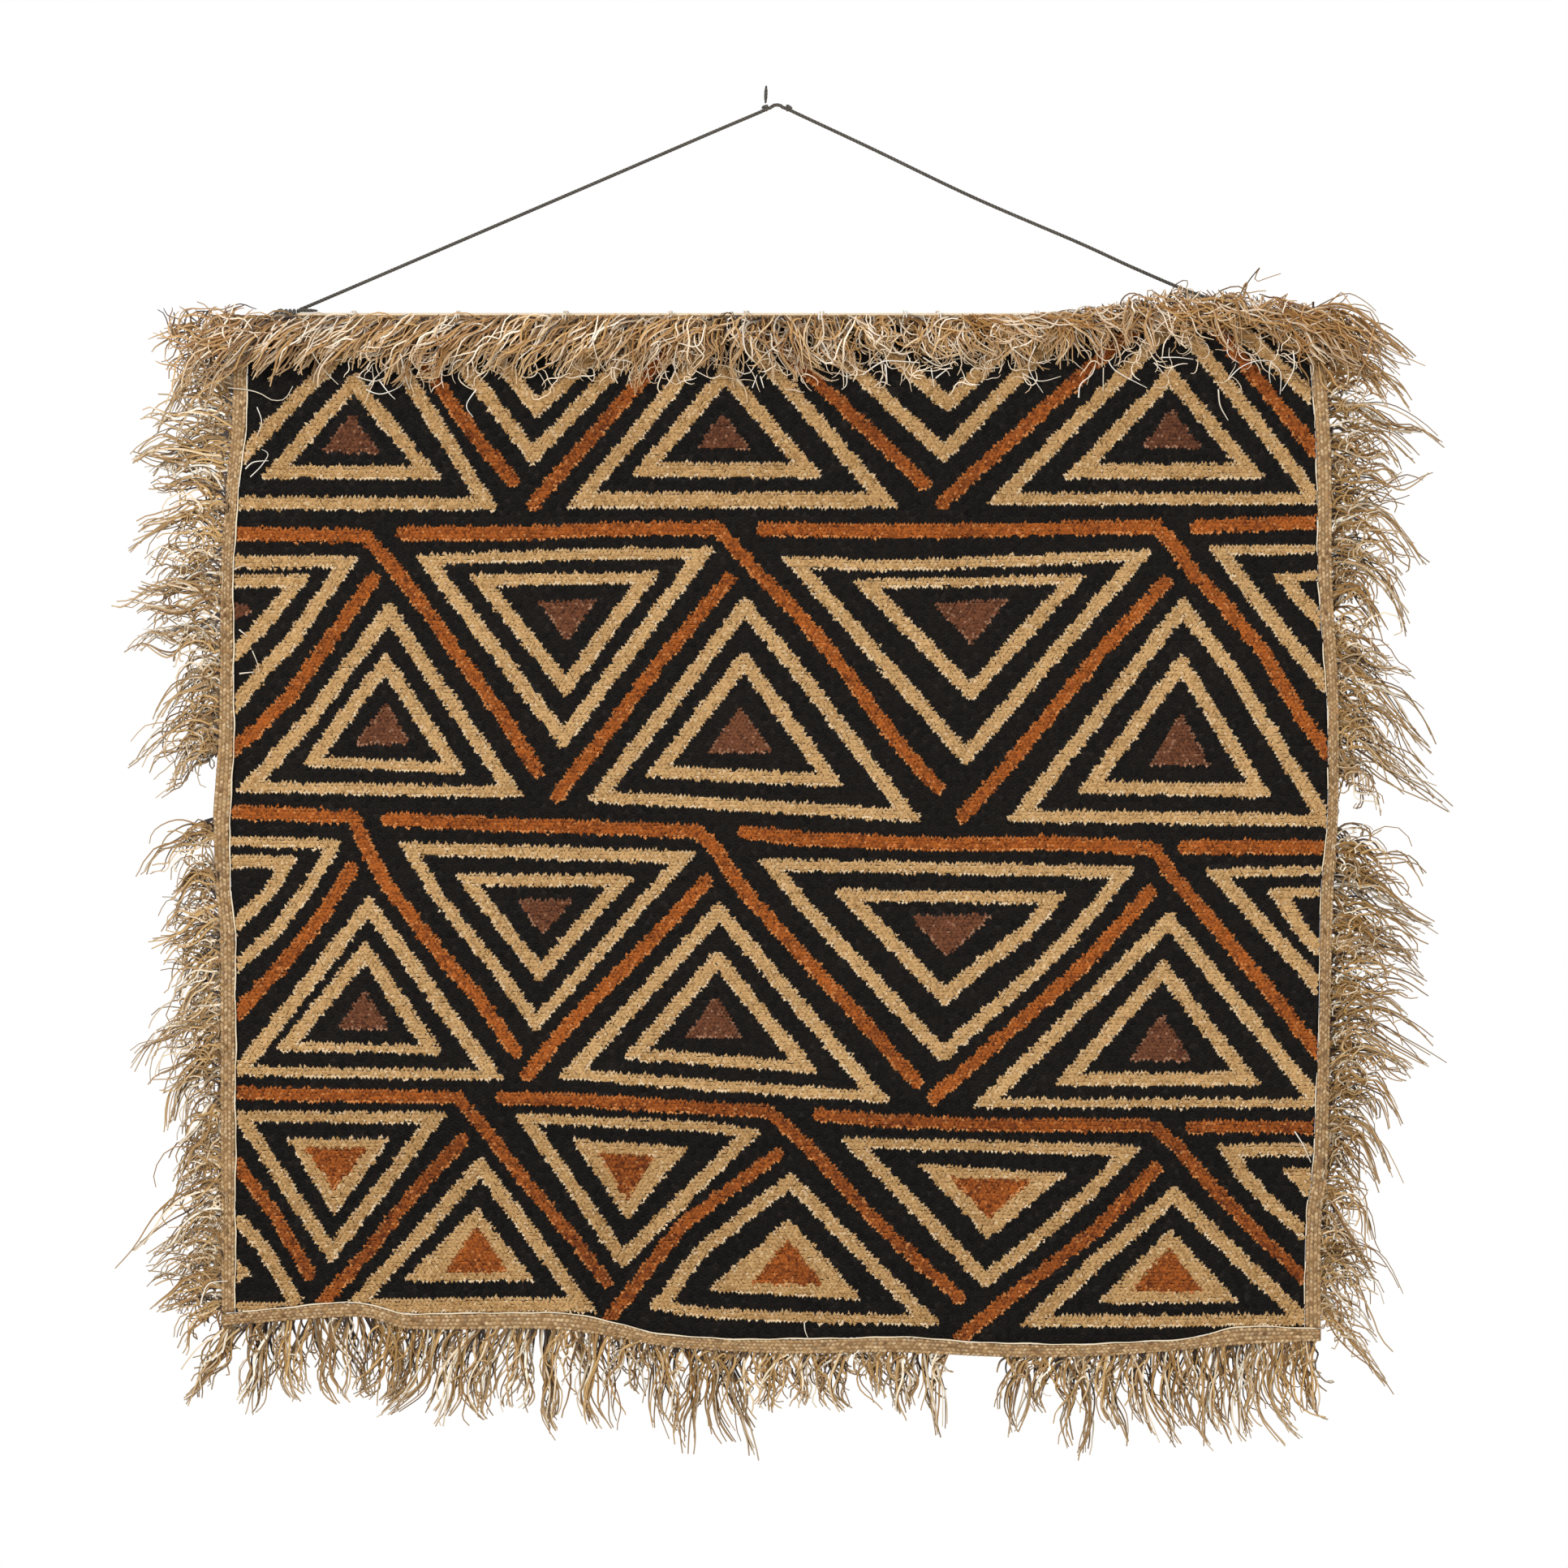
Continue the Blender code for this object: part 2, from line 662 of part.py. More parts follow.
def build_fringe(name, strands, along_of, strip_place, depth, stations, span, collection):
    """A narrow backing strip with every strand of one side grown out of it."""
    by_spot = {along_of(root): (root, centres) for root, centres in strands}
    spots = sorted(by_spot)
    joints = backing_joints(spots, stations, *span)
    shape, inner, outer = slab_shape((0.0, 1.0), joints, strip_place, depth)
    inner = set(inner)
    growing = []
    for index, spot in enumerate(spots):
        stretch = max(i for i in range(len(joints) - 1) if joints[i] < spot)
        edge = shape.edges.get((outer[stretch], outer[stretch + 1]))
        wall = next(face for face in edge.link_faces if not inner & set(face.verts))
        halves = bmesh.ops.triangulate(shape, faces=[wall])["faces"]
        growing.append((halves[index % 2], by_spot[spot]))
    for half, (root, centres) in growing:
        half.normal_update()
        grow_strand(shape, half, root, centres)
    bmesh.ops.recalc_face_normals(shape, faces=shape.faces[:])
    add_object(name, shape, "raffia_fringe", collection)


def build_side_fringe(name, rows, side, locks, foot_z, end_z, collection):
    """The fringe outside the left (-1) or right (+1) binding."""
    middle_y = PANEL_FRONT_Y + PANEL_THICK / 2.0

    def strip_place(across, drop):
        x = outer_of_side(rows, side, foot_z, -drop) + side * across * BACKING_WIDTH
        return space(x, middle_y - BACKING_THICK / 2.0 - forward_of_folds(x, -drop), -drop)

    def root_at(z):
        x = outer_of_side(rows, side, foot_z, z) + side * BACKING_WIDTH
        return Vector((x, middle_y - forward_of_folds(x, z), z))

    build_fringe(
        name, side_strands(locks, root_at), lambda root: -root.z, strip_place,
        space(0.0, BACKING_THICK, 0.0), [-z for z in side_stations(foot_z)],
        (-BINDING_TOP_Z, -end_z), collection,
    )


def build_bottom_fringe(collection):
    """The fringe under the bottom binding."""
    middle_y = PANEL_FRONT_Y + PANEL_THICK / 2.0

    def strip_place(across, x):
        z = outer_of_bottom(x) - across * BACKING_WIDTH
        return space(x, middle_y - BACKING_THICK / 2.0 - forward_of_folds(x, z), z)

    def root_at(x):
        z = outer_of_bottom(x) - BACKING_WIDTH
        return Vector((x, middle_y - forward_of_folds(x, z), z))

    build_fringe(
        "fringe_bottom", side_strands(BOTTOM_LOCKS, root_at), lambda root: root.x, strip_place,
        space(0.0, BACKING_THICK, 0.0), bottom_stations(),
        (BOTTOM_EDGE[0].along, BOTTOM_EDGE[-1].along), collection,
    )


def build_top_fringe(collection):
    """The fringe of the top edge, sewn in front of the binding and falling over it."""

    def strip_back_y(x):
        return binding_front(x, TOP_BACKING_Z) - GAP

    def strip_place(across, x):
        return space(x, strip_back_y(x) - across * BACKING_WIDTH, TOP_BACKING_Z)

    def root_at(x):
        return Vector((x, strip_back_y(x) - BACKING_WIDTH, TOP_BACKING_Z - BACKING_THICK / 2.0))

    build_fringe(
        "fringe_top", top_strands(TOP_LOCKS, root_at), lambda root: root.x, strip_place,
        space(0.0, 0.0, -BACKING_THICK), [], TOP_BACKING_SPAN, collection,
    )


def build_rod(collection):
    """The plain round rod behind the top edge."""
    bpy.ops.mesh.primitive_cylinder_add(
        vertices=ROD_SIDES,
        radius=ROD_DIAMETER / 2.0 * MM,
        depth=(ROD_RIGHT_X - ROD_LEFT_X) * MM,
        location=space((ROD_LEFT_X + ROD_RIGHT_X) / 2.0, 0.0, ROD_Z),
        rotation=(0.0, math.pi / 2.0, 0.0),
    )
    adopt(bpy.context.object, "rod", "pale_wood", collection)


def adopt(thing, name, finish, collection):
    """Name an object, give it its finish and move it to the part's collection."""
    thing.name = name
    thing.data.name = name
    thing.data.materials.append(material_of(finish))
    for home in list(thing.users_collection):
        home.objects.unlink(thing)
    collection.objects.link(thing)
    thing.data.shade_smooth()
    thing.data.set_sharp_from_angle(angle=SHARP_ANGLE)


def build_tie(name, centre_x, collection):
    """The turns of cord round the rod, as one ridged sleeve."""
    inner = ROD_DIAMETER / 2.0 + GAP
    outer = inner + CORD_DIAMETER
    half = TIE_TURNS * TIE_PITCH / 2.0
    profile = [(inner + TIE_SHOULDER, half)]
    for turn in range(TIE_TURNS):
        top = half - turn * TIE_PITCH
        profile.append((outer, top - TIE_PITCH / 2.0))
        if turn < TIE_TURNS - 1:
            profile.append((outer - TIE_VALLEY, top - TIE_PITCH))
    profile.append((inner + TIE_SHOULDER, -half))
    profile += [(inner, -half + TIE_CHAMFER), (inner, half - TIE_CHAMFER)]
    mesh = bpy.data.meshes.new(name)
    points = [space(radius, 0.0, height) for radius, height in profile]
    edges = [(i, (i + 1) % len(points)) for i in range(len(points))]
    mesh.from_pydata(points, edges, [])
    thing = bpy.data.objects.new(name, mesh)
    turned = thing.modifiers.new("turned", "SCREW")
    turned.steps = TIE_SIDES
    turned.render_steps = TIE_SIDES
    turned.use_merge_vertices = True
    turned.merge_threshold = 0.0001
    thing.location = space(centre_x, 0.0, ROD_Z)
    thing.rotation_euler = (0.0, math.pi / 2.0, 0.0)
    mesh.materials.append(material_of("dark_cord"))
    collection.objects.link(thing)


def smooth_route(route, step):
    """Points about one step apart on a smooth curve through the route."""
    points = []
    for index in range(len(route) - 1):
        p0 = route[max(index - 1, 0)]
        p1, p2 = route[index], route[index + 1]
        p3 = route[min(index + 2, len(route) - 1)]
        count = max(1, round(math.dist(p1, p2) / step))
        for part in range(count):
            t = part / count
            points.append(tuple(catmull_rom(a, b, c, d, t) for a, b, c, d in zip(p0, p1, p2, p3)))
    points.append(tuple(route[-1]))
    return points


def catmull_rom(a, b, c, d, t):
    """One coordinate of a smooth curve that passes b and c."""
    bend = (2.0 * a - 5.0 * b + 4.0 * c - d) * t + (3.0 * b - a - 3.0 * c + d) * t * t
    return b + 0.5 * t * ((c - a) + bend)


def build_cord(name, route, step, collection):
    """A length of the cord as a round tube along its route."""
    curve = bpy.data.curves.new(name, "CURVE")
    curve.dimensions = "3D"
    curve.bevel_depth = CORD_DIAMETER / 2.0 * MM
    curve.bevel_resolution = 2
    curve.use_fill_caps = True
    points = smooth_route(route, step)
    spline = curve.splines.new("POLY")
    spline.points.add(len(points) - 1)
    for point, (x, z) in zip(spline.points, points):
        point.co = (*space(x, 0.0, z), 1.0)
    thing = bpy.data.objects.new(name, curve)
    curve.materials.append(material_of("dark_cord"))
    collection.objects.link(thing)


def build_knot(name, centre, collection):
    """A pulled-tight knot as a small rounded lump."""
    bpy.ops.mesh.primitive_uv_sphere_add(
        segments=12, ring_count=8, radius=KNOT_RADIUS * MM, location=space(centre.x, 0.0, centre.z)
    )
    adopt(bpy.context.object, name, "dark_cord", collection)


def clear_scene():
    """Remove whatever the file starts with."""
    for thing in list(bpy.data.objects):
        bpy.data.objects.remove(thing, do_unlink=True)


def build_cloth(collection):
    """The panel, its bindings and its fringes."""
    _, _, foot_left, foot_right = panel_corners()
    sides = (
        ("left", LEFT_EDGE, -1, LEFT_LOCKS, foot_left.y),
        ("right", RIGHT_EDGE, 1, RIGHT_LOCKS, foot_right.y),
    )
    build_panel(collection)
    for word, rows, side, locks, foot_z in sides:
        build_side_binding("binding_" + word, rows, side, foot_z, collection)
        build_side_fringe(
            "fringe_" + word, rows, side, locks, foot_z, SIDE_BACKING_END_Z, collection
        )
    build_bottom_binding(collection)
    build_top_binding(collection)
    build_bottom_fringe(collection)
    build_top_fringe(collection)


def build_hanging(collection):
    """The rod, and the cord that hangs it from the nail."""
    build_rod(collection)
    build_tie("cord_tie_left", LEFT_TIE_X, collection)
    build_tie("cord_tie_right", RIGHT_TIE_X, collection)
    build_cord("cord_leg_left", LEFT_LEG, CORD_STEP, collection)
    build_cord("cord_leg_right", RIGHT_LEG, CORD_STEP, collection)
    build_cord("cord_bridge", BRIDGE, CORD_DIAMETER, collection)
    build_cord("cord_tail", KNOT_TAIL, CORD_STEP / 2.0, collection)
    build_knot("cord_knot_left", LEFT_KNOT, collection)
    build_knot("cord_knot_right", RIGHT_KNOT, collection)


def build_all():
    """Build the whole part in its own collection."""
    clear_scene()
    collection = bpy.data.collections.new("kuba_raffia_cloth")
    bpy.context.scene.collection.children.link(collection)
    build_cloth(collection)
    build_hanging(collection)


build_all()
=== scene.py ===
"""The dressed scene of a kuba raffia cloth hung from a plain rod.

A cut-pile raffia panel with a charted pattern of nested triangles has a
plaited strip and a loose raffia fringe along each side. The fringe of the top
edge falls over the face. Raffia stitches hold the top edge to a pale rod, and
a dark cord is tied round both ends of the rod.

Tables are in millimetres on the cloth. The origin is the hanging point, +X
runs to the right across the face, +Y runs back to the wall and +Z runs up.
"""

from __future__ import annotations

import logging
import math
from dataclasses import dataclass
from enum import Enum
from functools import cache
from typing import Callable, Iterable, NamedTuple, Sequence

import bmesh
import bpy
import numpy as np
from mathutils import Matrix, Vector


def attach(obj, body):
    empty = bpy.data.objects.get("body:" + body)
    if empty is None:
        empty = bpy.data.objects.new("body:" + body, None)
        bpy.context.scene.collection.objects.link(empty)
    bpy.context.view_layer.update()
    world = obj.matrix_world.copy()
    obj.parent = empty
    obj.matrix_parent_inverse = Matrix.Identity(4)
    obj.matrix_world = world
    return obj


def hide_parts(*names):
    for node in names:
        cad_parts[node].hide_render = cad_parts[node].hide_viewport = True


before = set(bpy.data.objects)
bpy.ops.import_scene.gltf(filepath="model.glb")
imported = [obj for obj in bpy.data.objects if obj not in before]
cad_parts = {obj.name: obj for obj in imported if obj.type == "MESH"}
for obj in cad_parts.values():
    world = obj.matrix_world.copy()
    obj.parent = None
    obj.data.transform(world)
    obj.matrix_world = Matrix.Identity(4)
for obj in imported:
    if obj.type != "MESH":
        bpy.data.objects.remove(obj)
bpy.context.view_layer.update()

LOG = logging.getLogger("kuba_cloth")
MM = 0.001
BODY = "root"
Points = np.ndarray
Floats = np.ndarray
Marks = np.ndarray
Rng = np.random.Generator
Mesh = bpy.types.Mesh
Thing = bpy.types.Object
Material = bpy.types.Material
Socket = bpy.types.NodeSocket
Span = tuple[float, float]
Spot = tuple[float, float, float]


def rows_of(kind: Callable[..., object], table: str) -> tuple:
    """Read a table of numbers with one row to a line."""
    return tuple(kind(*map(float, line.split())) for line in table.strip().splitlines())


def groups_of(row: str) -> list[list[float]]:
    """Read groups of numbers with a comma between groups."""
    return [[float(word) for word in group.split()] for group in row.split(",")]


def ease(values: Floats, low: float, high: float) -> Floats:
    """Rise smoothly from 0 at the low value to 1 at the high one."""
    share = np.clip((values - low) / (high - low), 0.0, 1.0)
    return share * share * (3.0 - 2.0 * share)


# Where the cloth's edges run and how its soft folds lie


class EdgePoint(NamedTuple):
    """A place along an edge: where it is, and the width of the binding there."""

    along: float
    edge: float
    binding: float


LEFT_EDGE = rows_of(EdgePoint, """
    -130 -324.5 8.5
    -196 -326 8.5
    -246 -331 7.5
    -286 -333.5 7.5
    -386 -334 9
    -436 -336 10.5
    -443.5 -337 9.5
    -486 -335.5 9
    -511 -333 9
    -620 -332.5 9
    -755 -332.5 8
""")
RIGHT_EDGE = rows_of(EdgePoint, """
    -130 328.5 9
    -176 331 9
    -216 333.5 9
    -296 334.5 8.5
    -366 339.5 7
    -436 340 6.2
    -486 336 7.5
    -561 335 6.8
    -661 331 9
    -686 327.5 9.2
    -765 326.5 9.8
""")
BOTTOM_EDGE = rows_of(EdgePoint, """
    -341.2 -745.5 7
    -327 -744 7.2
    -275.5 -738.5 8.5
    -250 -739 8
    -227 -745 9
    -135 -745.5 10
    -100 -750.5 9
    -65.5 -758.5 6.8
    7.5 -761.5 8.6
    72.5 -760.5 9
    147.5 -764 8
    198 -763.5 7.4
    251.5 -761 6.5
    286 -754.5 10.5
    336.5 -754.6 7.5
""")


class SoftFold(NamedTuple):
    """A soft fold: its centre, how far it spreads and how far it comes forward."""

    x: float
    z: float
    half_width: float
    half_height: float
    forward: float


SOFT_FOLDS = rows_of(SoftFold, """
    -268 -742 60 90 6
    -150 -700 55 130 -4
    -70 -760 45 110 3
    60 -690 80 150 -4.5
    200 -700 60 170 3.5
    292 -745 40 80 -4
    322 -400 55 130 4.5
    -330 -430 50 80 -4
    -40 -400 180 110 -3
    -300 -270 60 60 2.5
""")


# The pattern, charted on the cloth. Each row is one figure, and each
# pair in it is a corner as x and z, in bands from the top to the foot. What
# follows a bar is the figure's own widths: of a ring's flat sides and its
# slanting sides, or half the width of a line.

TAN_RINGS = (
    # first band, peaks
    "-248 -126.5, -169.5 -250.5, -366.5 -250",
    "-259.5 -164.5, -204.5 -231.5, -318 -231 | 8.5",
    "-28.5 -126, 78 -249, -130 -249 | 9.8",
    "-31 -159.5, 31 -230.5, -90 -230 | 9.2",
    "248 -126, 342 -247, 129 -247 | 7.2",
    "244 -160.5, 303 -231, 176.5 -231 | 9.5",
    # first band, valleys open to the top edge
    "-149.5 -223.5, -225.5 -126, -56.5 -126",
    "-147.5 -194.5, -200.5 -126, -73.5 -126",
    "104.5 -222, 2 -126, 195.5 -126",
    "106.5 -191, 32 -126, 173 -126",
    # second band, peaks
    "-238 -305, -154 -428, -336 -424, -320 -409, -291.5 -377.5 | 7",
    "-240 -336.5, -189.5 -413, -293.5 -408 | 6.5",
    "-19 -302.5, 19 -348, 91.5 -443, -117 -430 | 7.7",
    "-19 -335.5, 43.5 -421, -81.5 -415 | 7.7",
    "251 -303, 288 -350, 304 -377.5, 318 -400, 347 -445.5, 142 -442.5 | 7.7",
    "251 -337, 306.5 -427.5, 185 -425 | 8.3",
    # second band, valleys
    "-255 -278.5, -275 -306.5, -296 -336, -310 -350, -330 -374, -377.5 -428.5, -427.5 -278 | 8",
    "-284.5 -290, -306 -317, -325 -337, -362 -378, -412 -290 | 8 9",
    "-223 -278, -120 -274, -36 -273, -130.5 -399 | 7",
    "-190 -290, -70.5 -288, -129 -366.5 | 7.3",
    "2.5 -278, 60 -281, 110 -280, 235 -274, 117.5 -409 | 6.8",
    "46.5 -293, 193 -290, 121 -369 | 5.8",
    "266 -272.5, 313.5 -335, 374.5 -407, 430 -270 | 6",
    "305 -289.5, 356 -350.5, 410 -285 | 5.5",
    # third band, peaks
    "-250.5 -486.5, -166 -602, -338 -599 | 6.5",
    "-252 -515, -204 -586, -309 -583.5 | 5.8",
    "-34.5 -491, 73 -616.5, -135 -601 | 7",
    "-35.5 -520.5, 28 -598, -95 -588.5 | 7",
    "243 -496.5, 344 -619, 120.5 -618.5 | 6",
    "239 -526.5, 300.5 -605, 170.5 -605 | 8.2",
    # third band, valleys
    "-267 -453, -272.5 -466, -285 -486, -305.5 -513, -327 -532.5, -363 -566, -420 -449 | 6.5 8",
    "-294 -463.5, -306 -486, -317 -497, -353 -531, -400 -462 | 8 8.8",
    "-233 -454.5, -47.5 -460.5, -148 -573, -175 -535, -192 -515, -213 -488 | 8 8",
    "-198.5 -474.5, -85.5 -475, -145.5 -542 | 7.5 8.5",
    "-11.5 -465, 224 -470, 214 -482, 188.5 -513, 168 -534, 103 -592, 17 -500 | 7.3 8.8",
    "34.5 -484, 181.5 -486, 160 -512, 130 -534.5, 104 -556.5 | 7.5",
    "262.5 -471, 320 -534, 373 -598, 430 -467.5 | 5.8",
    "302.5 -483.5, 322 -514, 345 -536, 410 -480 | 6",
    # fourth band, valleys
    "-337 -620.5, -201 -621.5, -273.5 -715 | 7 8.8",
    "-162 -622, -137 -623, -69 -626, -35 -628, -8 -633, -94.5 -718.5 | 6.3 8.8",
    "38.5 -637, 227 -641.5, 201.5 -669, 167 -700, 129.5 -731 | 6.8 8.8",
    "271.5 -641.5, 285 -663, 308 -686.5, 326 -701, 372.5 -742, 430 -639 | 7.5",
    # fourth band, peaks
    "-345 -668, -330 -683, -314 -699, -303 -715, -290 -737, -286 -746, -430 -746 | 8 9",
    "-181.5 -648, -109 -745.5, -269.5 -745.5 | 9.5",
    "10 -658.5, 103.5 -753.5, 22 -752, -45 -748, -80 -742, -70 -732, -55 -711, -41 -697, -25 -685 | 6.5 8.8",
    "245.5 -666, 336.5 -753.5, 149 -753.5, 189 -715 | 7.4",
)
TAN_PATCHES = (
    "-301.5 -637, -237 -637.5, -271.5 -685",
    "-341 -704, -321 -721, -341 -731",
    "-184 -680, -148 -726, -229.5 -725.5",
    "-126 -638, -53 -643, -91 -688.5",
    "9 -687, 54.5 -738, -42.5 -731.5",
    "88 -653.5, 180 -659, 131.5 -700",
    "243 -692.5, 286.5 -739, 198.5 -739",
    "311.5 -656, 352 -701.5, 391 -656",
)
TAN_LINES = ("273 -126, 345 -194",)
BROWN_PATCHES = (
    "-261 -190, -243 -215.5, -280 -215",
    "-32 -190.5, -14 -213, -49 -212.5",
    "244.5 -187, 264 -212.5, 225.5 -212",
    "-336 -304.5, -320.5 -312, -335 -320",
    "-239.5 -368.5, -225 -394.5, -260 -395",
    "-146 -306.5, -109.5 -305, -128.5 -332",
    "-21.5 -371, -0.5 -400, -41.5 -400",
    "97.5 -308, 145 -304.5, 121 -333.5",
    "250 -374.5, 268 -408, 230.5 -408",
    "-253 -546.5, -237 -570.5, -271 -570",
    "-160.5 -490.5, -124 -490, -143 -512.5",
    "-37 -549.5, -20 -575.5, -56 -576",
    "82.5 -500, 134 -499.5, 106 -526.5",
    "238 -560, 257 -589.5, 218.5 -589.5",
)
TERRACOTTA_PATCHES = (
    "-290 -643, -251 -643, -271.5 -669.5",
    "-184 -691, -164.5 -720.5, -204.5 -721",
    "-109 -646.5, -74 -648, -91 -676.5",
    "8 -699.5, 30 -728, -15.5 -728",
    "108 -661.5, 158.5 -662.5, 131.5 -688",
    "243 -704, 265 -733, 219 -731",
)
TERRACOTTA_LINES = (
    # first band, between peaks and valleys
    "-232 -136, -205.5 -176, -183 -207, -162 -232",
    "-52.5 -136, -149 -246.5",
    "-10.5 -136, 92 -234",
    "224 -136, 166.5 -187.5, 103 -246",
    "267.5 -133, 345 -228.5",
    # under the first band and falling through the second
    "-345 -264.5, -252 -266.5, -235 -286, -217.5 -308.5, -193.5 -342, -168.5 -376, -147 -411",
    (
        "-229 -264.5, -152 -264.5, -104.5 -262, -36 -261.5, -25 -273.5, -7.5 -292, "
        "17 -317, 44 -350, 63 -377, 80 -399, 100 -421"
    ),
    (
        "-8 -262, 65 -263.5, 140 -262.5, 235.5 -260.5, 249 -275.5, 255.5 -287, "
        "274.5 -306, 297 -333, 312.5 -358, 326 -381, 348 -411"
    ),
    "260 -260.5, 300 -259, 350 -257",
    # rising through the second band
    "-247.5 -293, -276 -332.5, -299 -365, -322 -387.5, -345 -407",
    "-28.5 -293, -71.5 -344, -105 -389, -134.5 -426.5",
    "241 -294.5, 203.5 -334.5, 185 -357, 161.5 -386, 134 -419, 115.5 -439",
    # under the second band and falling through the third
    "-345 -436, -260 -439.5, -251.5 -460, -238 -483, -204.5 -526.5, -184 -550, -160 -584",
    (
        "-239 -441, -181 -443.5, -125.5 -445.5, -47 -448.5, -36 -460, "
        "-19.5 -485, 7.5 -515, 23 -531.5, 50.5 -561.5, 87 -603"
    ),
    (
        "-19 -449, 23 -453.5, 113 -456.5, 170.5 -455.5, 233.5 -459, "
        "245 -476, 273 -508.5, 303 -545, 334.5 -584.5, 346 -598"
    ),
    "251.5 -458, 350 -458",
    # rising through the third band
    "-261 -471.5, -280 -501.5, -302 -529, -331 -560, -345 -574",
    "-42.5 -479.5, -78 -517.5, -123.5 -563.5, -152.5 -598.5",
    "231 -486, 187.5 -533.5, 137 -578, 98 -612.5",
    # under the third band and falling through the fourth
    "-345 -609.5, -273.5 -611, -196 -612.5, -182 -628.5, -150 -669.5, -122.5 -702, -104 -726 | 4.1",
    "-168 -612.5, -102.5 -615, -42.5 -619, -4 -621, 26.5 -649, 61.5 -688.5, 91 -716, 114 -736 | 4.1",
    (
        "27.5 -623.5, 66.5 -627, 136 -629.5, 233.5 -629.5, 247 -642, "
        "272.5 -671, 302.5 -701.5, 326 -723, 338 -733 | 4.1"
    ),
    "257.5 -630.5, 345 -630.5 | 4.1",
    # rising through the fourth band
    "-341.5 -641, -309.5 -682, -286 -721 | 4.1",
    "-192.5 -638, -227 -676.5, -250 -706.5, -278 -738 | 4.2",
    "1 -647.5, -24 -666, -57.5 -691, -75.5 -714.5, -102 -748.5 | 4.2",
    "234.5 -656.5, 198 -693.5, 149.5 -732, 114 -761 | 4.4",
)


# The fringe: the stretch of edge that each lock grows from, where its middle
# and its tip lie on the face plane, and for the top how far it rises first


class Lock(NamedTuple):
    """One lock of raffia strands."""

    start: float
    end: float
    mid_x: float
    mid_z: float
    tip_x: float
    tip_z: float
    rise: float = 0.0


LEFT_LOCKS = rows_of(Lock, """
    -138 -158 -352 -151 -363 -171
    -160 -184 -360 -176 -375 -201
    -186 -206 -365 -201 -394 -206
    -207 -226 -368 -215 -397 -218
    -227 -244 -367 -231 -390 -240
    -246 -268 -364 -258 -391 -276
    -270 -292 -368 -286 -384 -295
    -294 -316 -372 -304 -407 -314
    -318 -336 -368 -328 -397 -332
    -338 -358 -360 -361 -384 -387
    -360 -378 -365 -383 -396 -405
    -380 -400 -365 -401 -385 -424
    -440 -452 -370 -458 -389 -476
    -470 -488 -362 -480 -376 -501
    -490 -512 -365 -506 -387 -521
    -514 -536 -360 -538 -375 -558
    -538 -560 -364 -567 -392 -589
    -562 -582 -362 -586 -382 -601
    -584 -606 -358 -608 -371 -638
    -610 -632 -356 -636 -370 -661
    -634 -656 -358 -656 -378 -686
    -660 -684 -362 -688 -395 -716
    -686 -710 -361 -708 -385 -722
    -712 -732 -363 -731 -381 -745
    -734 -744 -358 -751 -368 -770
""")
RIGHT_LOCKS = rows_of(Lock, """
    -138 -156 368 -146 405 -167
    -158 -178 365 -164 390 -188
    -180 -200 372 -193 415 -210
    -202 -222 366 -214 385 -223
    -224 -244 370 -240 403 -236
    -248 -270 372 -260 401 -286
    -272 -290 373 -290 391 -318
    -294 -312 362 -304 375 -330
    -316 -336 365 -338 390 -350
    -338 -356 372 -361 405 -396
    -358 -376 368 -384 396 -416
    -378 -396 366 -402 407 -431
    -398 -412 360 -418 372 -437
    -446 -462 367 -466 397 -482
    -464 -484 372 -488 403 -507
    -486 -508 371 -508 398 -526
    -510 -530 372 -526 406 -537
    -532 -552 372 -547 402 -553
    -554 -572 375 -567 417 -596
    -574 -594 369 -586 395 -609
    -596 -616 363 -608 380 -628
    -618 -638 358 -629 376 -658
    -640 -660 354 -651 367 -679
    -662 -684 352 -682 365 -706
    -686 -706 356 -710 385 -736
    -708 -728 355 -732 383 -767
    -730 -744 354 -759 380 -789
""")
BOTTOM_LOCKS = rows_of(Lock, """
    -341 -324 -347 -776 -363 -801
    -322 -304 -315 -781 -322 -805
    -302 -284 -294 -781 -285 -798
    -282 -262 -268 -780 -262 -799
    -255 -226 -240 -781 -252 -800
    -222 -204 -222 -786 -238 -807
    -202 -184 -203 -786 -210 -812
    -182 -164 -185 -792 -182 -811
    -162 -146 -162 -788 -166 -807
    -144 -128 -141 -788 -133 -822
    -126 -104 -114 -793 -110 -822
    -100 -82 -90 -779 -92 -792
    -78 -60 -68 -788 -65 -818
    -56 -38 -46 -794 -54 -830
    -36 -16 -27 -798 -15 -833
    -12 4 -3 -791 -1 -809
    6 22 13 -791 16 -810
    24 44 33 -787 40 -805
    48 68 60 -784 69 -803
    72 88 80 -791 79 -811
    92 106 96 -793 99 -821
    142 158 151 -791 148 -818
    160 176 168 -789 170 -808
    178 196 186 -798 186 -830
    198 216 205 -798 214 -826
    218 236 227 -798 241 -828
    238 256 250 -800 261 -819
    258 276 270 -803 278 -828
    278 296 288 -801 294 -826
    298 316 308 -798 321 -823
    318 334 329 -796 339 -813
""")
